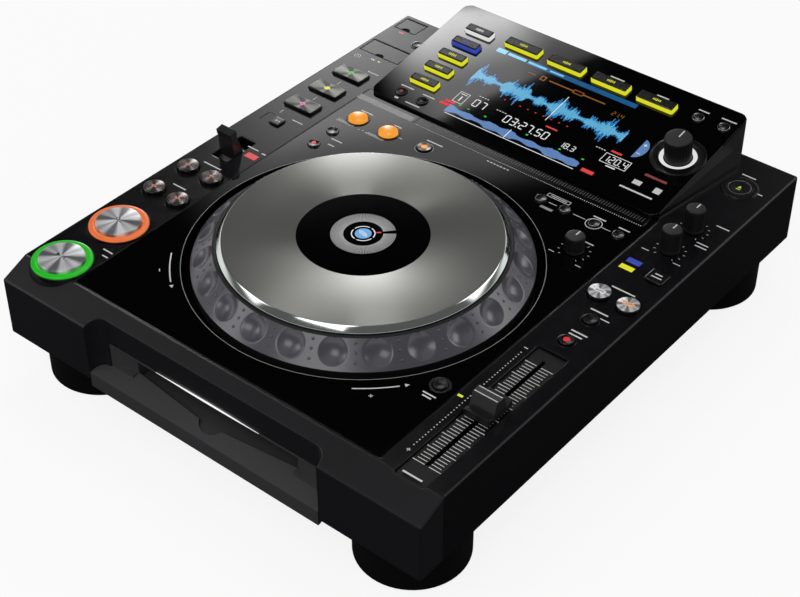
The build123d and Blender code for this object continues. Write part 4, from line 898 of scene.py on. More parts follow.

# %% [markdown]
# ## The rest of the wheel
#
# Below the grip is a skirt and above it a neck, both near-black: painted shade, so that the joints between
# the pieces read as shadow. On top sits the aluminium plate with a polished bevel. All three are rings:
# each profile goes in, up or down from the outer edge, and back to where it began.

# %% Skirt, neck, plate and bevel
skirt = [(0, -6.5), (0, 0.2), (0.4, 0.25), (1.6, 0), (1.6, -6.5)]
neck = [(0.3, 11.5), (0, 13.1), (0.6, 13.6), (2.2, 13.6), (2.2, 13.2), (5, 13.2), (5, 11.5)]
plate = [(4, 13.6), (0, 13.6), (0, 14.6), (2.5, 17.4), (3.2, 18), (47.4, 18), (47.4, 16.9), (48, 16.4)]
bevel_width = 3.4


def wheel_ring(name, radius, levels, materials, steps, **more):
    size = (2 * radius, 2 * radius, radius)
    return stack(name, DECK, [jog_spot], size, levels, "jog", materials, closed=True, steps=steps, **more)


wheel_ring("jog_skirt", FOOT_RADIUS, skirt, [shade_and_dark_print], 48)
wheel_ring("jog_neck", NECK_RADIUS, soften(neck, 0.3, 2), [shade_and_dark_print], 48)
top = wheel_ring(
    "jog_top_plate", 87.35, soften(plate, 0.3, 3), [plate_metal, rim_metal], 64,
    stands_for=["jog_plate"], slot="platter_aluminium", mark=lambda inset: int(inset < bevel_width),
)
print("the plate has", len(top.data.polygons), "faces")

# %% [markdown]
# Three raised dots between each pair of dimples give the fingertips more grip. They are small flattened
# balls, turned so that each one stands square on the cone. Each of the three circles is one piece.

# %% Raised dots on the grip
GRIP_DOT, GRIP_DOT_FLATNESS = 0.95, 0.5
square_on = Vector((CONE_RISE, CONE_RUN)).normalized()
for number, away in enumerate((91.7, 95.6, 99.8)):
    name = f"jog_grip_dots_{number + 1}"
    height = FOOT_RISE + (FOOT_RADIUS - away) / (CONE_RUN / CONE_RISE)
    bumps = bmesh.new()
    for gap in range(DIMPLES):
        angle = radians((gap + 0.5) * 360 / DIMPLES)
        outward = Vector((cos(angle), sin(angle), 0))
        normal = (outward * square_on.x + Vector((0, 0, 1)) * square_on.y).normalized()
        spot = DECK @ Vector((*jog_spot, 0)) + outward * away + Vector((0, 0, height))
        turn = normal.to_track_quat("Z", "Y").to_matrix().to_4x4()
        flatten = Matrix.Diagonal((1, 1, GRIP_DOT_FLATNESS, 1))
        place = Matrix.Scale(MM, 4) @ Matrix.Translation(spot) @ turn @ flatten
        bmesh.ops.create_uvsphere(bumps, u_segments=16, v_segments=8, radius=GRIP_DOT, matrix=place)
    for face in bumps.faces:
        face.smooth = True
    finish_piece(name, keep_mesh(name, bumps), "jog", [smoked])
    print(name, "at radius", away, "and height", round(height, 2))

# %% [markdown]
# ## The window in the middle of the wheel
#
# Behind a dark window a small display shows how the platter turns: a ring of fine segments, a pointer in
# a gap of the ring, and a blue hub. Lit segments under acrylic look flat and even, so they are films of
# light on the window's surface with no relief of their own.

# %% Segments, hub and pointer
WINDOW = 18
SEGMENTS, SEGMENT_ARC = 118, 350
pointer_angle = radians(45)
grow(
    "window_segments", bar_tree,
    {"Count": SEGMENTS, "Radius": 15.75 * MM, "First angle": radians(50),
     "Step angle": radians(SEGMENT_ARC / SEGMENTS), "Bar": thin_bar(7.7, 0.46), "Finish": soft_lamp},
    DECK, "jog", [jog_spot], WINDOW + 0.03,
)
thin_ring = []
for quarter in (0, 90, 180, 270):
    thin_ring += band(*jog_spot, 6.7, 7.3, quarter + 6, quarter + 84, 12)
film("window_thin_ring", DECK, thin_ring, WINDOW, "jog", white_lamp)
film("window_hub", DECK, [dot(*jog_spot, 5.0, 40)], WINDOW, "jog", blue_hub_lamp)
x, y = jog_spot
hub_lines = [bar(x + 0.9 * n, y, 0.25, 5.6 - abs(n) * 0.7, pointer_angle) for n in range(-3, 4)]
film("window_hub_grid", DECK, hub_lines, WINDOW + THIN, "jog", white_lamp)
pointer = bar(x + 9.2 * cos(pointer_angle), y + 9.2 * sin(pointer_angle), 3.2, 1.0, pointer_angle)
film("window_pointer", DECK, [pointer], WINDOW, "jog", red_lamp)
print("segments every", round(SEGMENT_ARC / SEGMENTS, 2), "degrees, lines in the hub:", len(hub_lines))

# %% [markdown]
# ## Push buttons
#
# There are four kinds. The large ones and the round ones beside them are metal caps turned on a lathe,
# the loop buttons are translucent domes, the small ones are dark plastic with a shallow hollow, and the
# pads and keys are rectangular. Every one starts below the panel, in its own hole, so that it still
# looks right when it is pressed. Each replaces the plain button of the CAD model, and its body's name
# is the button's name.


# %% Makers of round caps, pads and rings
BELOW_PANEL = -1.6
PAD_CORNER = 1.2


def top_only(edge):
    """Picks the side's material below the rounded edge and the top's material above it."""
    return lambda inset: int(inset > edge * 0.6)


def cap(name, surface, spots, radius, rise, body, side, top, dome=0.0, edge=0.7):
    """A round cap: straight side, rounded edge, and a top that is domed or, below zero, hollowed."""
    levels = soften([(0, BELOW_PANEL), (0, rise), (radius * 0.5, rise + dome * 0.8)], edge)
    levels += [(radius * 0.75, rise + dome * 0.95), (radius, rise + dome)]
    size = (2 * radius, 2 * radius, radius)
    coats = [side, top]
    return stack(name, surface, spots, size, levels, body, coats, [body], steps=12, mark=top_only(edge))


def pad(name, surface, spots, width, depth, rise, body, side, top, edge=0.5):
    """A rectangular cap with a flat top."""
    levels = soften([(0, BELOW_PANEL), (0, rise), (edge * 2, rise)], edge)
    size = (width, depth, PAD_CORNER)
    coats = [side, top]
    return stack(name, surface, spots, size, levels, body, coats, [body], steps=4, mark=top_only(edge))


def ring(name, surface, spots, outer, inner, rise, body, material, edge=0.3, low=-0.6, stands_for=()):
    """A ring between two radii, from low to rise, with rounded upper edges."""
    levels = soften([(0, low), (0, rise), (outer - inner, rise), (outer - inner, low)], edge)
    size = (2 * outer, 2 * outer, outer)
    return stack(name, surface, spots, size, levels, body, [material], stands_for, closed=True, steps=14)


print("caps start", -BELOW_PANEL, "mm below the panel")

# %% Where the buttons stand, as x and distance from the front of the deck or of the display
PLAY, CUE = (-136.7, 28), (-136.7, 74.4)
SEARCH = [(-146.9, 114.7), (-126.3, 114.7)]
TRACK = [(-146.9, 145), (-126.3, 145)]
SYNC, MASTER = (128.8, 205.3), (148.7, 205.3)
LOOP_IN, LOOP_OUT, RELOOP = (-99.2, 256.6), (-73.2, 256.6), (-43.9, 257.8)
SLIP, QUICK_LOOP = (-102.6, 234.7), (-102.6, 216)
CALLS, DELETE, MEMORY = [(47.2, 260.6), (65.4, 260.6)], (87.6, 259.8), (105.4, 259.8)
TEMPO_RESET, TEMPO_RANGE, MASTER_TEMPO = (106.1, 84.5), (138.3, 182.2), (138.3, 158.5)
USB_STOP, EJECT = (-127.5, 354.9), (137.8, 348.5)
RECORD_MODE, JOG_MODE = (-138.3, 219.7), (147.1, 238.9)
HOT_CUES = {"a": (-138.3, 245.3), "b": (-138.3, 270.2), "c": (-138.3, 295.1)}
MENU_FRONT, MENU_BACK = [(-94.6, 9.6), (-76.4, 9.2)], [(87.4, 91.8), (106.2, 92.4)]
print("play and cue are", round(CUE[1] - PLAY[1], 1), "mm apart")

# %% Metal caps: play and cue with their lit rings, search, track, sync and master
for name, spot in (("play", PLAY), ("cue", CUE)):
    cap(name + "_cap", DECK, [spot], 14.2, 3.8, name + "_button", cap_metal, cap_metal, 0.5, 0.9)
for name, spot, lamp in (("play_light_ring", PLAY, green_lamp), ("cue_light_ring", CUE, orange_lamp)):
    ring(name, DECK, [spot], 18.5, 14.7, 2.2, "case", lamp, 0.9, -2, ["transport_light_rings"])
ring("transport_collars", DECK, [PLAY, CUE], 19.4, 18.6, 1.0, "case", button_acrylic, 0.3, -8)
for name, spots, body, top in (
    ("search_buttons_caps", SEARCH, "search_buttons", dark_cap_metal),
    ("track_buttons_caps", TRACK, "track_buttons", dark_cap_metal),
    ("sync_cap", [SYNC], "sync_button", cap_metal),
    ("master_cap", [MASTER], "master_button", cap_metal),
):
    cap(name, DECK, spots, 7.2, 2.6, body, button_acrylic, top, 0.3)

# %% Loop domes, and the reloop button with its dark cap
cap("loop_in_dome", DECK, [LOOP_IN], 6.6, 2.0, "loop_in_button", amber_lamp, amber_lamp, 1.0, 0.9)
cap("loop_out_dome", DECK, [LOOP_OUT], 6.6, 2.0, "loop_out_button", amber_lamp, amber_lamp, 1.0, 0.9)
ring("loop_bezels", DECK, [LOOP_IN, LOOP_OUT], 8.1, 6.95, 0.5, "case", button_acrylic, 0.2)
cap("reloop_cap", DECK, [RELOOP], 5, 1.4, "reloop_button", button_acrylic, dark_cap_metal, -0.3, 0.4)
print("the domes rise", 2.0 + 1.0, "mm")

# %% Small hollowed buttons, and the bezels round some of them
MEMORY_ROW, TEMPO_PAIR = [*CALLS, DELETE, MEMORY], [TEMPO_RANGE, MASTER_TEMPO]
for name, body, surface, spots, radius, rise, side, hollow, edge in (
    ("slip_loop_caps", "slip_loop_buttons", DECK, [SLIP, QUICK_LOOP], 4, 1.6, plated, -0.4, 0.5),
    ("cue_memory_caps", "cue_memory_buttons", DECK, MEMORY_ROW, 3.6, 1.2, plated, -0.4, 0.5),
    ("tempo_reset_cap", "tempo_reset_button", DECK, [TEMPO_RESET], 4.2, 1.2, button_acrylic, -0.3, 0.4),
    ("tempo_caps", "tempo_buttons", DECK, TEMPO_PAIR, 4.5, 1.8, button_acrylic, -0.4, 0.5),
    ("usb_stop_cap", "usb_stop_button", DECK, [USB_STOP], 3.4, 1.2, plated, -0.3, 0.5),
    ("eject_cap", "eject_button", DECK, [EJECT], 7.6, 1.0, button_acrylic, -0.3, 0.4),
    ("menu_caps_front", "menu_buttons", DISPLAY, MENU_FRONT, 4.0, 1.0, button_acrylic, -0.3, 0.4),
    ("menu_caps_back", "menu_buttons", DISPLAY, MENU_BACK, 4.0, 1.0, plated, 0.3, 0.5),
):
    cap(name, surface, spots, radius, rise, body, side, button_acrylic, hollow, edge)
for name, spots, outer, inner, rise, material in (
    ("tempo_reset_bezel", [TEMPO_RESET], 6.4, 4.7, 0.35, button_acrylic),
    ("tempo_bezels", TEMPO_PAIR, 6.0, 4.95, 0.4, case_abs),
    ("usb_stop_bezel", [USB_STOP], 5.0, 3.9, 0.4, button_acrylic),
):
    ring(name, DECK, spots, outer, inner, rise, "case", material, 0.15)
ring("eject_line", DECK, [EJECT], 7.5, 7.1, 1.1, "eject_button", plated, 0.05, 0.7)

# %% Pads: record mode, jog mode and the three hot cues
for name, spot, width, depth, rise in (
    ("record_mode", RECORD_MODE, 8, 8, 1.4),
    ("jog_mode", JOG_MODE, 12, 11.6, 1.6),
):
    pad(name + "_cap", DECK, [spot], width, depth, rise, name + "_button", button_acrylic, button_acrylic)
for letter, spot in HOT_CUES.items():
    body = f"hot_cue_pad_{letter}"
    pad(f"hot_cue_cap_{letter}", DECK, [spot], 24, 12.4, 2, body, button_acrylic, pad_metal)
print("hot cue pads:", ", ".join(HOT_CUES))

# %% [markdown]
# ## Lit keys on the display panel
#
# Each key is a clear block with a black cover on top, so the lamp inside shows only round its sides.
# The cover is a thin second stack on a body of lit plastic, and five short bars stand where its print is.


# %% Keys with lit sides and dark covers
def lit_key(name, spots, width, depth, lamp):
    """Keys that are one body of the same name."""
    pad(name + "_block", DISPLAY, spots, width, depth, 2.6, name, lamp, lamp, 0.3)
    levels = soften([(0.5, 2.5), (0.35, 3.15), (1.3, 3.2)], 0.25)
    size = (width, depth, PAD_CORNER)
    stack(name + "_cover", DISPLAY, spots, size, levels, name, [button_acrylic], steps=4)
    marks = [bar(x - 2.6 + 1.3 * n, s, 0.7, 1.5 + (n * 7 % 3) * 0.4) for x, s in spots for n in range(5)]
    film(name + "_mark", DISPLAY, marks, 3.19, name, lamp)


for number, name in enumerate(("disc_key", "sd_key", "usb_key", "computer_key", "link_key")):
    lamp = {"computer_key": blue_lamp, "link_key": white_lamp}.get(name, yellow_lamp)
    lit_key(name, [(-86.5, 25.3 + 15.5 * number)], 21.5, 7.6, lamp)
    print(name, "glows", lamp.name)
lit_key("browse_keys", [(x, 89.6) for x in (-50.45, -14.55, 21.35, 57.25)], 28, 8.4, yellow_lamp)

# %% [markdown]
# ## Knobs
#
# A knob is a turned cylinder with fine ribs round it, so that dry fingers can turn it. The ribs come
# from the same tree as the dial ticks. A white line on top shows where it points.


# %% Ribbed knobs and their dials
LIFT = 0.8  # a knob floats this far above the panel
TICKS, DIAL_ARC = 11, 280
BRAKE, RELEASE, JOG_ADJUST, SELECTOR = (138.3, 293.2), (138.3, 266.6), (93.9, 230), (97, 53)


def knob(name, surface, spot, radius, height, ribs):
    """A knob that is one body of the same name: turned core, ribs and pointer."""
    levels = [(0.2, LIFT), (0.2, LIFT + 1.2), (0.45, LIFT + 1.6), (0.45, LIFT + height)]
    levels = soften(levels + [(radius * 0.6, LIFT + height)], 0.5) + [(radius, LIFT + height)]
    size = (2 * radius, 2 * radius, radius)
    stack(name + "_turned", surface, [spot], size, levels, name, [knob_rubber], [name], steps=12)
    tall = height - 2.6
    grow(
        name + "_ribs", bar_tree,
        {"Count": ribs, "Radius": (radius - 0.42) * MM, "Step angle": tau / ribs,
         "Bar": thin_bar(0.7, 0.62, tall), "Finish": knob_rubber},
        surface, name, [spot], LIFT + 1.6 + tall / 2,
    )
    pointer = bar(spot[0], spot[1] + radius * 0.45, 0.9, radius * 0.72)
    film(name + "_pointer", surface, [pointer], LIFT + height, name, white_ink)
    print(name, "has", ribs, "ribs, one every", round(tau * radius / ribs, 1), "mm")


def dial(name, surface, spot, radius):
    """Ticks round a knob, leaving a gap at its front."""
    grow(
        name, bar_tree,
        {"Count": TICKS, "Radius": radius * MM, "First angle": radians(-50),
         "Step angle": radians(DIAL_ARC / (TICKS - 1)), "Bar": thin_bar(1.3, 0.35), "Finish": white_ink},
        surface, "case", [spot], 0.03,
    )


for name, spot in (("touch_brake_knob", BRAKE), ("release_start_knob", RELEASE)):
    knob(name, DECK, spot, 6.3, 15.7, 26)
    dial(name + "_dial", DECK, spot, 9.4)
knob("jog_adjust_knob", DECK, JOG_ADJUST, 6.2, 11, 26)
dial("jog_adjust_dial", DECK, JOG_ADJUST, 9.6)
knob("selector_knob", DISPLAY, SELECTOR, 9, 16.1, 44)
ring("selector_light", DISPLAY, [SELECTOR], 12.2, 9.5, 0.7, "case", white_lamp, 0.3, 0.0)
ring("selector_bowl", DISPLAY, [SELECTOR], 18.2, 12.3, 1.6, "case", case_abs, 0.6, 0.0)

# %% [markdown]
# ## The tempo fader
#
# The fader plate carries a comb of fine lines on both sides of the slot, with every fifth line longer,
# which lets the eye judge small moves. The cap has a groove across its ridge with a white line on each
# side. The plate is sunk in the strip, so its print lies lower than the deck's.

# %% Comb, scale and cap lines
FADER_X, SUNK = 138.3, -1.17
for side, sign in (("left", -1), ("right", 1)):
    for name, count, step, off, line, lift in (
        ("comb", 41, 2.5, 4.7, thin_bar(6.4, 0.42), 0.0),
        ("long", 9, 12.5, 5.5, thin_bar(8.0, 0.5), 0.01),
    ):
        grow(
            f"fader_{name}_{side}", bar_tree,
            {"Count": count, "Step along": (0, step * MM, 0), "Bar": line, "Finish": white_ink},
            DECK, "case", [(FADER_X + sign * off, 32)], SUNK + lift,
        )
grow(
    "fader_dots", bar_tree,
    {"Count": 40, "Step along": (0, 2.45 * MM, 0), "Bar": thin_bar(0.7, 0.7), "Finish": white_ink},
    DECK, "case", [(124, 39.2)], 0.03,
)
signs = bars((124, 139.5, 2.6, 0.6), (124, 34.6, 2.4, 0.6), (124, 34.6, 0.6, 2.4))
film("fader_signs", DECK, signs + digits("0", 127.6, 84.8, 3), 0, "case", white_ink)
cap_lines = [bar(FADER_X, 84.9 + y, 15.6, 0.55) for y in (-2.1, 2.1)]
film("fader_cap_lines", DECK, cap_lines, 12, "tempo_slider", white_ink)
print("the comb is", 40 * 2.5, "mm long")

# %% [markdown]
# ## The screen
#
# The screen shows a waveform with a playhead, a time, a tempo and an overview, laid out in plain shapes
# and figures that belong to nobody. The waveforms come from the bar tree with fixed seeds, so the
# picture is the same each time. The films have the window's own gloss, so they sit under its reflection.

# %% Waveforms from the bar tree
WAVE_CENTRE = 51
passage = {"Count": 132, "Step along": (0.92 * MM, 0, 0), "Uneven": 0.6}
passage.update({"Swell": 0.82, "Swell step": 0.165})
whole = {"Count": 108, "Step along": (0.98 * MM, 0, 0), "Uneven": 0.16}
whole.update({"Swell": 0.6, "Swell step": 0.14})
for name, rule, line, seed, lamp, spot, lift in (
    ("screen_wave_low", passage, thin_bar(0.62, 27), 7, wave_lamp, (-63, WAVE_CENTRE), 0.02),
    ("screen_wave_high", passage, thin_bar(0.62, 17), 11, wave_pale_lamp, (-63, WAVE_CENTRE), 0.08),
    ("screen_overview", whole, thin_bar(1.0, 8.4), 5, overview_lamp, (-58, 13.5), 0.02),
):
    sizes = {**rule, "Bar": line, "Seed": seed, "Finish": lamp}
    grow(name, bar_tree, sizes, DISPLAY, "case", [spot], lift)
    print(name, "is", round(rule["Count"] * rule["Step along"][0] / MM), "mm wide")

# %% Bars, figures and signs on the screen; a film drawn later lies a little higher
film("screen_header", DISPLAY, [bar(4, 80, 88, 4.2)], 0, "case", header_lamp)
header_lights = bars((-62, 80, 8, 4.2), (-49, 80, 15, 2.6), (-32, 80, 15, 1.9), (-16, 80, 11, 1.4))
film("screen_header_light", DISPLAY, header_lights, 0.06, "case", wave_pale_lamp)
SCREEN_SIGNS = 0.12
figures = digits("03:27.50", -19, 25, 6.6, 1.1) + digits("18.3", 26, 24, 4.6, 1.1)
figures += digits("120.4", 57.6, 28.5, 5.4) + digits("07", -46, 27, 6.6, 1.1)
boxes = frame_of(-56, 26, 8, 11, 0.4) + frame_of(66, 28.5, 19.5, 9, 0.4)
boxes += bars((-56, 25, 0.9, 5), (-56, 29.6, 5, 0.6))
heads = bars((4.7, WAVE_CENTRE, 0.5, 27), (-5, 8.6, 104, 0.5), (-8.5, 13.5, 0.6, 9), (66, 22.4, 7, 0.9))
dash_rows = ((-46, 34, 2.2), (-28, 29, 2.2), (48, 34, 2.0))
dashes = [bar(x + step * n, y, 1.2, 0.5) for x, y, step in dash_rows for n in range(4)]
film("screen_white", DISPLAY, figures + boxes + heads + dashes, SCREEN_SIGNS, "case", white_lamp)
print("white shapes on the screen:", len(figures + boxes + heads + dashes))

# %% The screen's coloured signs and its half dial
reds = bars((56, 11.5, 9, 3), (-60, 19, 8, 2.2), (-62, 15.5, 8, 2.6))
reds += bars((13, 33, 9, 1.2), (62, 35.8, 8, 1.6))
reds += [bar(-30 + 6.3 * n, 40, 1.0, 0.8) for n in range(9)]
film("screen_red", DISPLAY, reds, SCREEN_SIGNS, "case", red_lamp)
ambers = frame_of(-21, 71.2, 4, 4.4, 0.8)
ambers += bars((-30, 71.2, 6, 0.6), (-6, 71.2, 20, 0.9), (20, 71.2, 18, 0.9))
ambers += frame_of(7.6, 71.2, 8, 3.6, 0.6) + digits("21.4", 38, 66.5, 3.4, 1.1)
film("screen_amber", DISPLAY, ambers, SCREEN_SIGNS, "case", amber_line_lamp)
greens = [bar(x, 19.4, 1.8, 1.2) for x in (-52, -45, -31, 3, 29, 47)]
film("screen_green", DISPLAY, greens, SCREEN_SIGNS, "case", green_lamp)
half_dial = [(70 + 7.5 * cos(radians(a)), 47 + 9.5 * sin(radians(a))) for a in range(-80, 81, 10)]
film("screen_dial", DISPLAY, [half_dial], 0.02, "case", overview_lamp)
dial_signs = bars((73.6, 51.4, 2.6, 0.5), (73.6, 51.4, 0.5, 2.6), (73.6, 42.6, 2.6, 0.5))
film("screen_dial_signs", DISPLAY, dial_signs, 0.08, "case", white_lamp)
print("coloured signs:", len(reds), "red,", len(ambers), "amber,", len(greens), "green")

# %% [markdown]
# ## Marks on the panels
#
# The panels are printed with small signs: arrows for the direction of play, dashes that join related
# buttons, light bars under the loop buttons, and a few lamps. Where lettering would be, a short plain
# bar stands in its place.

# %% Print on the deck panel
LEFT_ARC, RIGHT_ARC = 115.5, 116.5


def jog_arc(radius, first, last, line):
    """A printed arc around the wheel, between two angles in degrees."""
    return band(*jog_spot, radius - line / 2, radius + line / 2, first, last, 14)


def around_jog(radius, degrees):
    """A place beside the wheel."""
    return jog_spot[0] + radius * cos(radians(degrees)), jog_spot[1] + radius * sin(radians(degrees))


# arcs with arrows and small signs beside the wheel, for play backwards and forwards
deck_marks = jog_arc(LEFT_ARC, 217, 231, 0.8) + jog_arc(RIGHT_ARC, 307, 320, 0.8)
deck_marks += [
    arrow(*around_jog(radius, angle), 2.6, radians(turn))
    for radius, angle, turn in ((LEFT_ARC, 233, 323), (RIGHT_ARC, 322, 412))
]
deck_marks += [
    bar(*around_jog(radius, angle), 2.4, 0.6, radians(turn))
    for radius, angle, turn in ((121.5, 225, 135), (122.5, 312, 42), (122.5, 312, 132))
]
# dots between the loop buttons, and lines that join buttons in a row
deck_marks += [bar(x, 247.5 + 0.9 * (n % 2), 1.2, 0.5) for n, x in enumerate((-91, -88, -85))]
deck_marks += bars((-64.5, 256.8, 6, 0.45), (56.3, 260.6, 6, 0.45))
deck_marks += bars((76.5, 260.2, 9, 0.45), (96.5, 259.8, 7, 0.45))
# over the call, delete and memory buttons
deck_marks += frame_of(56.3, 267.4, 17, 3.4, 0.4)
deck_marks += bars((56.3, 267.4, 12, 0.6), (87.6, 266.6, 9, 1.0), (105.6, 266.6, 8, 1.0))
# round the jog knob, and under the tempo reset button
deck_marks += bars((94, 241.5, 12, 1.0), (83, 221.5, 4, 0.5), (104, 219, 4, 0.5))
deck_marks += bars((106, 74.8, 9, 1.0), (106, 72.4, 6, 1.0))
# beside the slip button and over the loop buttons, and seven dashes under the touch strip
deck_marks += bars((-93.5, 228.3, 9, 0.9), (-93, 222, 5, 0.9), (-42, 266.5, 13, 1.0))
deck_marks += bars((-99.5, 266.4, 10, 1.0), (-73, 266.4, 6, 1.0))
deck_marks += [bar(-3 + 2.6 * n, 272.4, 1.6, 0.9) for n in range(7)]
film("deck_print", DECK, deck_marks, 0, "case", white_ink)
# a painted highlight: the grey band stands for the light on the bowl rim's small chamfer
film("bowl_rim_painted_highlight", DECK, band(*jog_spot, 109.1, 109.45, 0, 360, 120), 0, "case", grey_marks_and_rim_highlight)
label_bars = bars((-103, 248.3, 14, 2.6), (-77.3, 248.1, 14, 2.6), (55.8, 254.4, 9, 2.2))
film("label_bars", DECK, label_bars, 0, "case", grey_marks_and_rim_highlight)
print("marks on the deck:", len(deck_marks))

# %% Lamps in the small buttons, and printed rings round two of them
for name, surface, spot, radius, lift, body, lamp in (
    ("slip_lamp", DECK, QUICK_LOOP, 1.5, 1.35, "slip_loop_buttons", red_lamp),
    ("reloop_lamp", DECK, RELOOP, 2.2, 1.3, "reloop_button", amber_lamp),
    ("master_tempo_lamp", DECK, MASTER_TEMPO, 2.0, 1.6, "tempo_buttons", red_lamp),
    ("time_lamp", DISPLAY, MENU_FRONT[0], 1.5, 0.9, "menu_buttons", dim_red_lamp),
):
    film(name, surface, [dot(*spot, radius)], lift, body, lamp)
    print(name, "is", 2 * radius, "mm across")
film("reloop_ring", DECK, band(*RELOOP, 5.9, 6.3, 0, 360, 40), 0, "case", grey_marks_and_rim_highlight)
film("delete_ring", DECK, band(*DELETE, 5.0, 5.5, 0, 360, 40), 0, "case", white_ink)

# %% Signs on the large buttons; each film lies on its cap and rides with it
BIG_CAP_TOP, SMALL_CAP_TOP = 4.26, 2.88
play_sign = [arrow(-139.6, 28, 2.6)] + bars((-135.6, 28, 0.7, 2.4), (-133.9, 28, 0.7, 2.4))
cue_sign = band(-137.6, 75, 1.0, 1.5, 0, 360, 20) + [bar(-134.6, 73.6, 2.4, 0.6)]
film("play_sign", DECK, play_sign, BIG_CAP_TOP, "play_button", shade_and_dark_print)
film("cue_sign", DECK, cue_sign, BIG_CAP_TOP, "cue_button", shade_and_dark_print)
directions = (pi, 0)
search = [arrow(x + off, y, 1.9, t) for (x, y), t in zip(SEARCH, directions) for off in (-1.1, 1.1)]
track = [arrow(x, y, 2.0, t) for (x, y), t in zip(TRACK, directions)]
track += bars((-148.6, 145, 0.5, 2), (-124.6, 145, 0.5, 2))
film("search_signs", DECK, search, SMALL_CAP_TOP, "search_buttons", orange_lamp)
film("track_signs", DECK, track, SMALL_CAP_TOP, "track_buttons", orange_lamp)


def cap_box(spot, line):
    """A lit rectangle on a cap, open at its corners."""
    x, y = spot
    sides = [bar(x, y + v, 6.4, line) for v in (-1.2, 1.2)]
    return sides + [bar(x + u, y, line, 3.0) for u in (-3.4, 3.4)]


film("sync_sign", DECK, cap_box(SYNC, 0.6), SMALL_CAP_TOP, "sync_button", white_lamp)
film("master_sign", DECK, cap_box(MASTER, 0.7), SMALL_CAP_TOP, "master_button", amber_lamp)
print("signs lie", BIG_CAP_TOP, "and", SMALL_CAP_TOP, "mm above the deck")

# %% Signs on the eject button and the square pads
eject = [arrow(137.8, 348.9, 2.6, pi / 2), bar(137.8, 346.4, 3, 0.7)]
film("eject_sign", DECK, eject, 0.86, "eject_button", eject_lamp)
jog_mode = bars((147.1, 240.6, 5, 0.9), (147.1, 237.6, 7, 0.9))
film("jog_mode_sign", DECK, jog_mode, 1.6, "jog_mode_button", white_ink)
record = [arrow(-138.6, 219.7, 2.2), bar(-136.4, 219.7, 0.5, 2)]
film("record_sign", DECK, record, 1.4, "record_mode_button", white_ink)
print("signs on pads and eject button: 3")

# %% Print on the two side strips, listed from the front to the back
left = bars((-122.8, 52, 8, 1.0), (-120.5, 47.4, 4.5, 1.0))  # play and cue
left += bars((-136.6, 126.6, 11, 1.0), (-136.6, 156.4, 15, 1.0))  # search and track
left += bars((-129.5, 187.2, 9, 1.0), (-119.8, 186.5, 3.4, 1.0))  # direction lever
left += bars((-128, 228.4, 9, 0.9), (-145.2, 231.5, 0.5, 4))  # record mode
left += bars((-138.3, 257.6, 0.45, 5), (-138.3, 282.6, 0.45, 5), (-128, 306.5, 9, 1.0))  # hot cues
left += bars((-139.8, 320.3, 3.2, 1.6), (-151.4, 317.5, 0.5, 2.0))  # card door
left += band(-151.4, 317.5, 1.9, 2.3, 0, 360, 24)
right = bars((138, 20.6, 13, 1.2))  # fader
right += bars((139.5, 165.6, 9, 1.1), (140, 168.8, 11, 1.1))  # master tempo
right += bars((144, 187.2, 8, 0.8), (138.3, 191.5, 12, 1.1))  # tempo range
right += bars((138.3, 216.4, 16, 1.1))  # sync and master
right += bars((126, 258.4, 5, 0.6), (148.6, 257.6, 5, 0.6), (151, 280.8, 8, 0.9))  # release knob
right += bars((150.4, 284, 8, 0.9), (151.5, 306, 9, 0.9))  # brake knob
right += bars((150.5, 350.6, 5, 0.9), (136, 363.5, 10, 1.0))  # eject
film("strip_print", DECK, left + right, 0, "case", white_ink)
# the groove is a near-black film: painted shade for its hollow
groove = frame_of(-150.7, 221, 0.9, 10, 0.4) + [bar(-148.2, 226, 5, 0.5)]
film("groove_painted_shade", DECK, groove, 0, "case", shade_and_dark_print)
print("marks on the left and right strips:", len(left), len(right))

# %% Lamps on the strips and in the hot cue pads
for name, x, distance, width, depth, lamp in (
    ("reverse_lamp", -124.5, 180, 9, 5, red_lamp),
    ("vinyl_lamp", 127.8, 243.8, 9.4, 4.6, blue_lamp),
    ("mode_lamp", 127.4, 236.3, 9.4, 4.2, yellow_lamp),
    ("reset_lamp", 119.6, 84.8, 3.4, 1.7, yellow_lamp),
    ("usb_lamp", -147.4, 360.9, 4.2, 1.4, red_lamp),
    ("card_lamp", -134.6, 320.6, 2.0, 1.0, yellow_lamp),
):
    film(name, DECK, [bar(x, distance, width, depth)], 0, "case", lamp)
for (letter, (x, distance)), lamp in zip(HOT_CUES.items(), (pink_lamp, yellow_lamp, green_lamp)):
    marks = bars((x, distance, 2.6, 3.4), (x, distance, 5.2, 0.8))
    film(f"hot_cue_lamp_{letter}", DECK, marks, 2, f"hot_cue_pad_{letter}", lamp)
    print("pad", letter, "glows", lamp.name)

# %% The touch strip's ribs, its scale of dots and its pale end
ribs = {"Count": 88, "Step along": (2 * MM, 0, 0), "Bar": thin_bar(0.8, 4.6), "Finish": rib_ink}
dots = {"Count": 112, "Step along": (1.6 * MM, 0, 0), "Bar": thin_bar(0.6, 0.6), "Finish": white_ink}
grow("needle_ribs", bar_tree, ribs, DECK, "case", [(-65, 282.6)], -0.12)
grow("needle_dots", bar_tree, dots, DECK, "case", [(-66.5, 276.2)], 0.03)
film("needle_band", DECK, [bar(-94, 279.2, 47, 5.6)], 0, "case", grey_marks_and_rim_highlight)
print("ribs and dots:", ribs["Count"], dots["Count"])

# %% Print on the display's glass
# beside the front menu buttons, over the browse keys and the back menu buttons, in front of the selector
display_marks = bars((-94, 15.8, 11, 1.0), (-75.5, 15.4, 10, 1.0), (-94, 3.4, 3, 1.6), (-80, 3.2, 12, 1.0))
display_marks += bars((21.4, 97, 11, 1.0), (57.2, 97, 9, 1.0), (87.4, 99, 8, 1.0), (106, 99.6, 11, 1.0))
display_marks += bars((88, 20, 6, 4), (103, 20, 5, 5), (92, 12.2, 24, 1.3))
film("display_print", DISPLAY, display_marks, 0, "case", white_ink)
film("display_red_print", DISPLAY, [bar(96, 29, 16, 2.0)], 0, "case", dim_red_lamp)
print("marks on the glass:", len(display_marks) + 1)
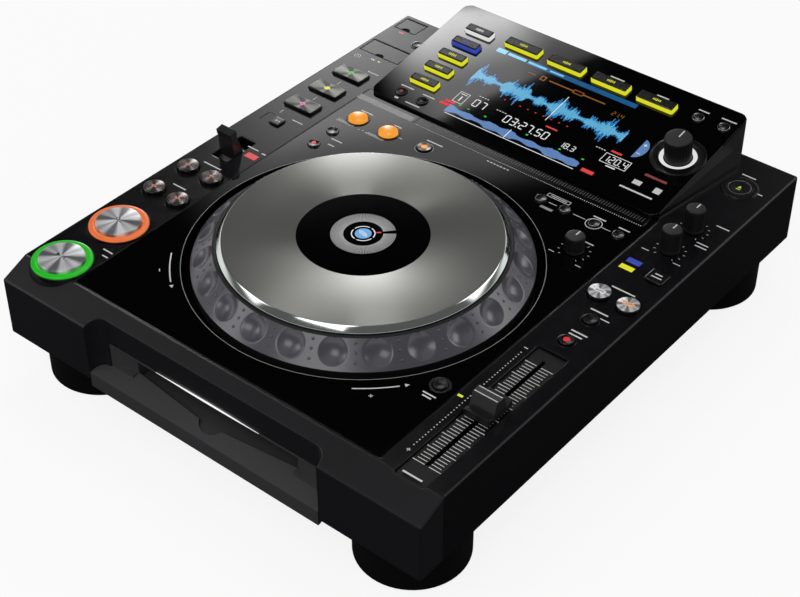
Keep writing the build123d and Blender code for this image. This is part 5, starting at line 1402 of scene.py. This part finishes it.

# %% [markdown]
# A glowing line in the recess is a painted highlight for the light that the disc slot's upper lip catches,
# widest in its middle and fading to a point at each end.

# %% The painted highlight on the disc slot's lip, as places from left to right with half its width there
lip_highlight_widths = [(-41, 0.12), (-30, 0.3), (-15, 0.55), (0, 0.65), (14, 0.55), (28, 0.3), (39, 0.12)]
lip_highlight_shapes = [
    [(x0, -w0), (x1, -w1), (x1, w1), (x0, w0)] for (x0, w0), (x1, w1) in zip(lip_highlight_widths, lip_highlight_widths[1:])
]
RECESS = Matrix.Translation((0, front + 9.0, deck - 21.4))
# the film glows as a painted highlight on the slot's lip
film("slot_lip_painted_highlight", RECESS, lip_highlight_shapes, 0, "case", slot_highlight_finish)
print("the line of light is", lip_highlight_widths[-1][0] - lip_highlight_widths[0][0], "mm long")

# %% [markdown]
# ## A sky for polished black
#
# Polished black plastic shows whatever it faces, so the room is built in the sky, in degrees above the
# horizon and round it. Rays that light a surface see an even grey of 0.55. Rays that bounce off a glossy
# surface see the room: a pale horizon, a low white wall at the back left, a soft box above it and a few
# windows. The camera sees plain white. Everything stands still in the room, so other views see their
# own reflections of it.

# %% The sky's two angles
scene = bpy.context.scene
scene.view_settings.view_transform = "Standard"
world = bpy.data.worlds.new("studio")
scene.world = world
world.use_nodes = True
sky = world.node_tree
sky.nodes.clear()
direction = add(sky, "ShaderNodeTexCoord").outputs["Generated"]
split_sky = add(sky, "ShaderNodeSeparateXYZ", {0: direction}).outputs
up = add(sky, "ShaderNodeMath", {0: split_sky["Z"]}, operation="ARCSINE")
up = add(sky, "ShaderNodeMath", {0: up, 1: 180 / pi}, operation="MULTIPLY")
side = add(sky, "ShaderNodeMath", {0: split_sky["X"], 1: split_sky["Y"]}, operation="ARCTAN2")
side = add(sky, "ShaderNodeMath", {0: side, 1: 180 / pi}, operation="MULTIPLY")
print("the sky's two angles take", len(sky.nodes), "nodes")

# %% [markdown]
# Every light in the room is a patch of sky between soft edges. An edge is where an angle passes from
# dark to bright, and a patch is bright where all its edges are. The wall and the soft box have slanting
# edges, so for those the height is counted from a line that leans.

# %% Heights above leaning lines, and a patch of light between soft edges
leaning = {}
for name, level_at, slope in (
    ("wall top", -48.0, 0.104),
    ("box foot", -47.0, -0.2),
    ("box top", 0.0, 0.11),
):
    across = add(sky, "ShaderNodeMath", {0: side, 1: level_at}, operation="SUBTRACT")
    leaning[name] = add(sky, "ShaderNodeMath", {0: across, 1: slope, 2: up}, operation="MULTIPLY_ADD")
room_lights = []


def patch(*edges):
    """Light between soft edges. An edge is an angle, where it starts and where it ends, and how bright
    it is at both if that isn't 0 and 1."""
    light = 1.0
    for angle, begins, ends, *levels in edges:
        first, last = levels or (0.0, 1.0)
        edge = {0: angle, 1: begins, 2: ends, 3: first, 4: last}
        edge = add(sky, "ShaderNodeMapRange", edge, interpolation_type="SMOOTHSTEP")
        light = add(sky, "ShaderNodeMath", {0: edge, 1: light}, operation="MULTIPLY")
    room_lights.append(light)
    print("soft edges of patch", len(room_lights), "-", len(edges))


# %% A low white wall at the back left, brightest in its middle, and a soft box above it
wall = leaning["wall top"]
wall_ends = ((side, -48.5, -43.5), (side, -31, -36))
patch((wall, 37.2, 35.7), *wall_ends)
patch((wall, 35.3, 34.0, 0.0, 1.4), *wall_ends)
patch((wall, 32.6, 30.8, 0.0, 5.4), (side, -46, -42.5), (side, -36.5, -40.5), *wall_ends)
patch(
    (leaning["box foot"], 43.9, 44.4), (leaning["box top"], 42.2, 42.08), (up, 46.6, 44.3, 2.4, 11.6),
    (side, -51.5, -48.5), (side, -42.8, -45.2, 0.42, 1.0), (side, -39.8, -41.0),
)

# %% The horizon, the ceiling and the windows
# pale all round at the horizon
patch((up, 14, 5, 0.012, 1.0))
# the room is dim all round, but a patch below zero makes it dark on the side that the flat panels face
ROOM_DIM = 0.12
patch((side, -84, -70, 0.0, -ROOM_DIM), (side, 0, -14))
# a ceiling glow and four windows, which only rounded edges and round parts face
patch((up, 58, 70, 0.0, 0.3))
for left, right, low, high, strength in (
    (-134, -98, 44, 53, 1.0),
    (14, 54, 20, 44, 2.6),
    (-136, -114, 22, 40, 3.0),
    (-24, -8, 24, 38, 0.4),
):
    patch(
        (side, left - 4, left + 4, 0.0, strength), (side, right + 4, right - 4),
        (up, low - 4, low + 4), (up, high + 4, high - 4),
    )

# %% The whole sky, for each kind of ray
EVEN_GREY = 0.55
room = ROOM_DIM
for light in room_lights:
    room = add(sky, "ShaderNodeMath", {0: light, 1: room}, operation="ADD")
path = add(sky, "ShaderNodeLightPath").outputs
shown = add(sky, "ShaderNodeMix", {0: path["Is Glossy Ray"], 2: EVEN_GREY, 3: room}).outputs[0]
seen = add(sky, "ShaderNodeMix", {0: path["Is Camera Ray"], 2: shown, 3: 1.0}).outputs[0]
glow = add(sky, "ShaderNodeBackground", {"Color": (1, 1, 1, 1), "Strength": seen})
add(sky, "ShaderNodeOutputWorld", {"Surface": glow.outputs[0]})
print("the whole sky has", len(sky.nodes), "nodes")

# %% [markdown]
# ## Two soft boxes
#
# The even sky gives no shape to metal and no direction to the shadows, so two soft boxes help it. A small
# one at the back draws the bright fan on the plate, and a wide one in front fills the faces that look
# at the viewer.


# %% Soft boxes, placed and aimed in metres
def soft_box(name, place, target, width, depth, power):
    lamp = bpy.data.lights.new(name, "AREA")
    lamp.shape, lamp.size, lamp.size_y, lamp.energy = "RECTANGLE", width, depth, power
    holder = bpy.data.objects.new(name, lamp)
    scene.collection.objects.link(holder)
    holder.location = place
    holder.rotation_mode = "QUATERNION"
    holder.rotation_quaternion = (Vector(target) - Vector(place)).to_track_quat("-Z", "Y")
    print(name, "gives", power, "W from", round((Vector(target) - Vector(place)).length, 2), "m")


soft_box("fan_box", (-0.98, 1.25, 2.9), (0, -0.05, 0.1), 0.4, 0.5, 5)
soft_box("front_box", (0.2, -2.3, 2.9), (0, 0, 0.1), 2.0, 1.6, 26)

# %% [markdown]
# ## The floor
#
# The floor is white paper. It lights the object from below only a little, as grey card would, but the
# camera sees it nearly white. Polished metal sees it white only from half a metre out; nearer, it sees the
# grey card, a painted shade that stands for the object's shadow on the floor.

# %% A sheet of white paper
FLOOR_REACH = 6.0
sheet = [(x * FLOOR_REACH, y * FLOOR_REACH, 0) for x, y in ((-1, -1), (1, -1), (1, 1), (-1, 1))]
floor_mesh = bpy.data.meshes.new("studio_floor")
floor_mesh.from_pydata(sheet, [], [(0, 1, 2, 3)])
floor = bpy.data.objects.new("studio_floor", floor_mesh)
scene.collection.objects.link(floor)
print("the floor is", 2 * FLOOR_REACH, "m wide")

# %% Its finish, for each kind of ray
SEEN_WHITE = 0.86
paper, paper_tree, paper_shader = start("white_paper_floor", "ffffff", 0.9, Specular_IOR_Level=0.0)
paper_place = grain(paper_tree, paper_shader, 3, 0.02)
ray = add(paper_tree, "ShaderNodeLightPath").outputs
lit_paper = {0: ray["Is Camera Ray"], 6: tone("3a3a3c"), 7: (1, 1, 1, 1)}
lit_paper = add(paper_tree, "ShaderNodeMix", lit_paper, data_type="RGBA").outputs[2]
paper_tree.links.new(lit_paper, paper_shader.inputs["Base Color"])
white = add(paper_tree, "ShaderNodeEmission", {"Color": (1, 1, 1, 1), "Strength": 1.0})
# painted shade: reflections see the floor fade from grey card near the middle to white beyond 1.1 m
far = add(paper_tree, "ShaderNodeVectorMath", {0: paper_place}, operation="LENGTH").outputs["Value"]
far = add(paper_tree, "ShaderNodeMapRange", {0: far, 1: 0.5, 2: 1.1})
by_camera = {0: ray["Is Camera Ray"], 1: SEEN_WHITE}
by_camera = add(paper_tree, "ShaderNodeMath", by_camera, operation="MULTIPLY")
by_metal = add(paper_tree, "ShaderNodeMath", {0: far, 1: ray["Is Glossy Ray"]}, operation="MULTIPLY")
share = add(paper_tree, "ShaderNodeMath", {0: by_camera, 1: by_metal}, operation="MAXIMUM")
layers = {0: share, 1: paper_shader, 2: white}
mixed = add(paper_tree, "ShaderNodeMixShader", layers)
paper_tree.links.new(mixed.outputs[0], paper_tree.nodes["Material Output"].inputs["Surface"])
floor_mesh.materials.append(paper)
print("the camera sees the paper", SEEN_WHITE, "white of its own and the rest as lit")

# %% [markdown]
# ## The camera
#
# A camera's place, turn and lens belong together: they come from matching the edges and circles of the
# model to where they fall in the frame. The turn is given as a rotation vector, whose length is the
# angle, and the lens as its focal length in pixels of a frame 800 wide.

# %% The portrait's camera
FRAME_WIDTH, FOCAL_PIXELS, SENSOR = 800, 1741.74, 36
camera_data = bpy.data.cameras.new("camera")
camera_data.sensor_width = SENSOR
camera_data.lens = FOCAL_PIXELS / FRAME_WIDTH * SENSOR
camera_data.clip_start = 0.05
camera = bpy.data.objects.new("camera", camera_data)
scene.collection.objects.link(camera)
scene.camera = camera
camera.location = (0.53708, -0.67589, 0.72091)
turn = Vector((2.1505, 0.7673, -0.3630))
right, down, ahead = Matrix.Rotation(turn.length, 3, turn)
camera.rotation_mode = "QUATERNION"
camera.rotation_quaternion = Matrix((right, -down, -ahead)).transposed().to_quaternion()
print("a lens of", round(camera_data.lens, 1), "mm looks along", [round(v, 3) for v in ahead])
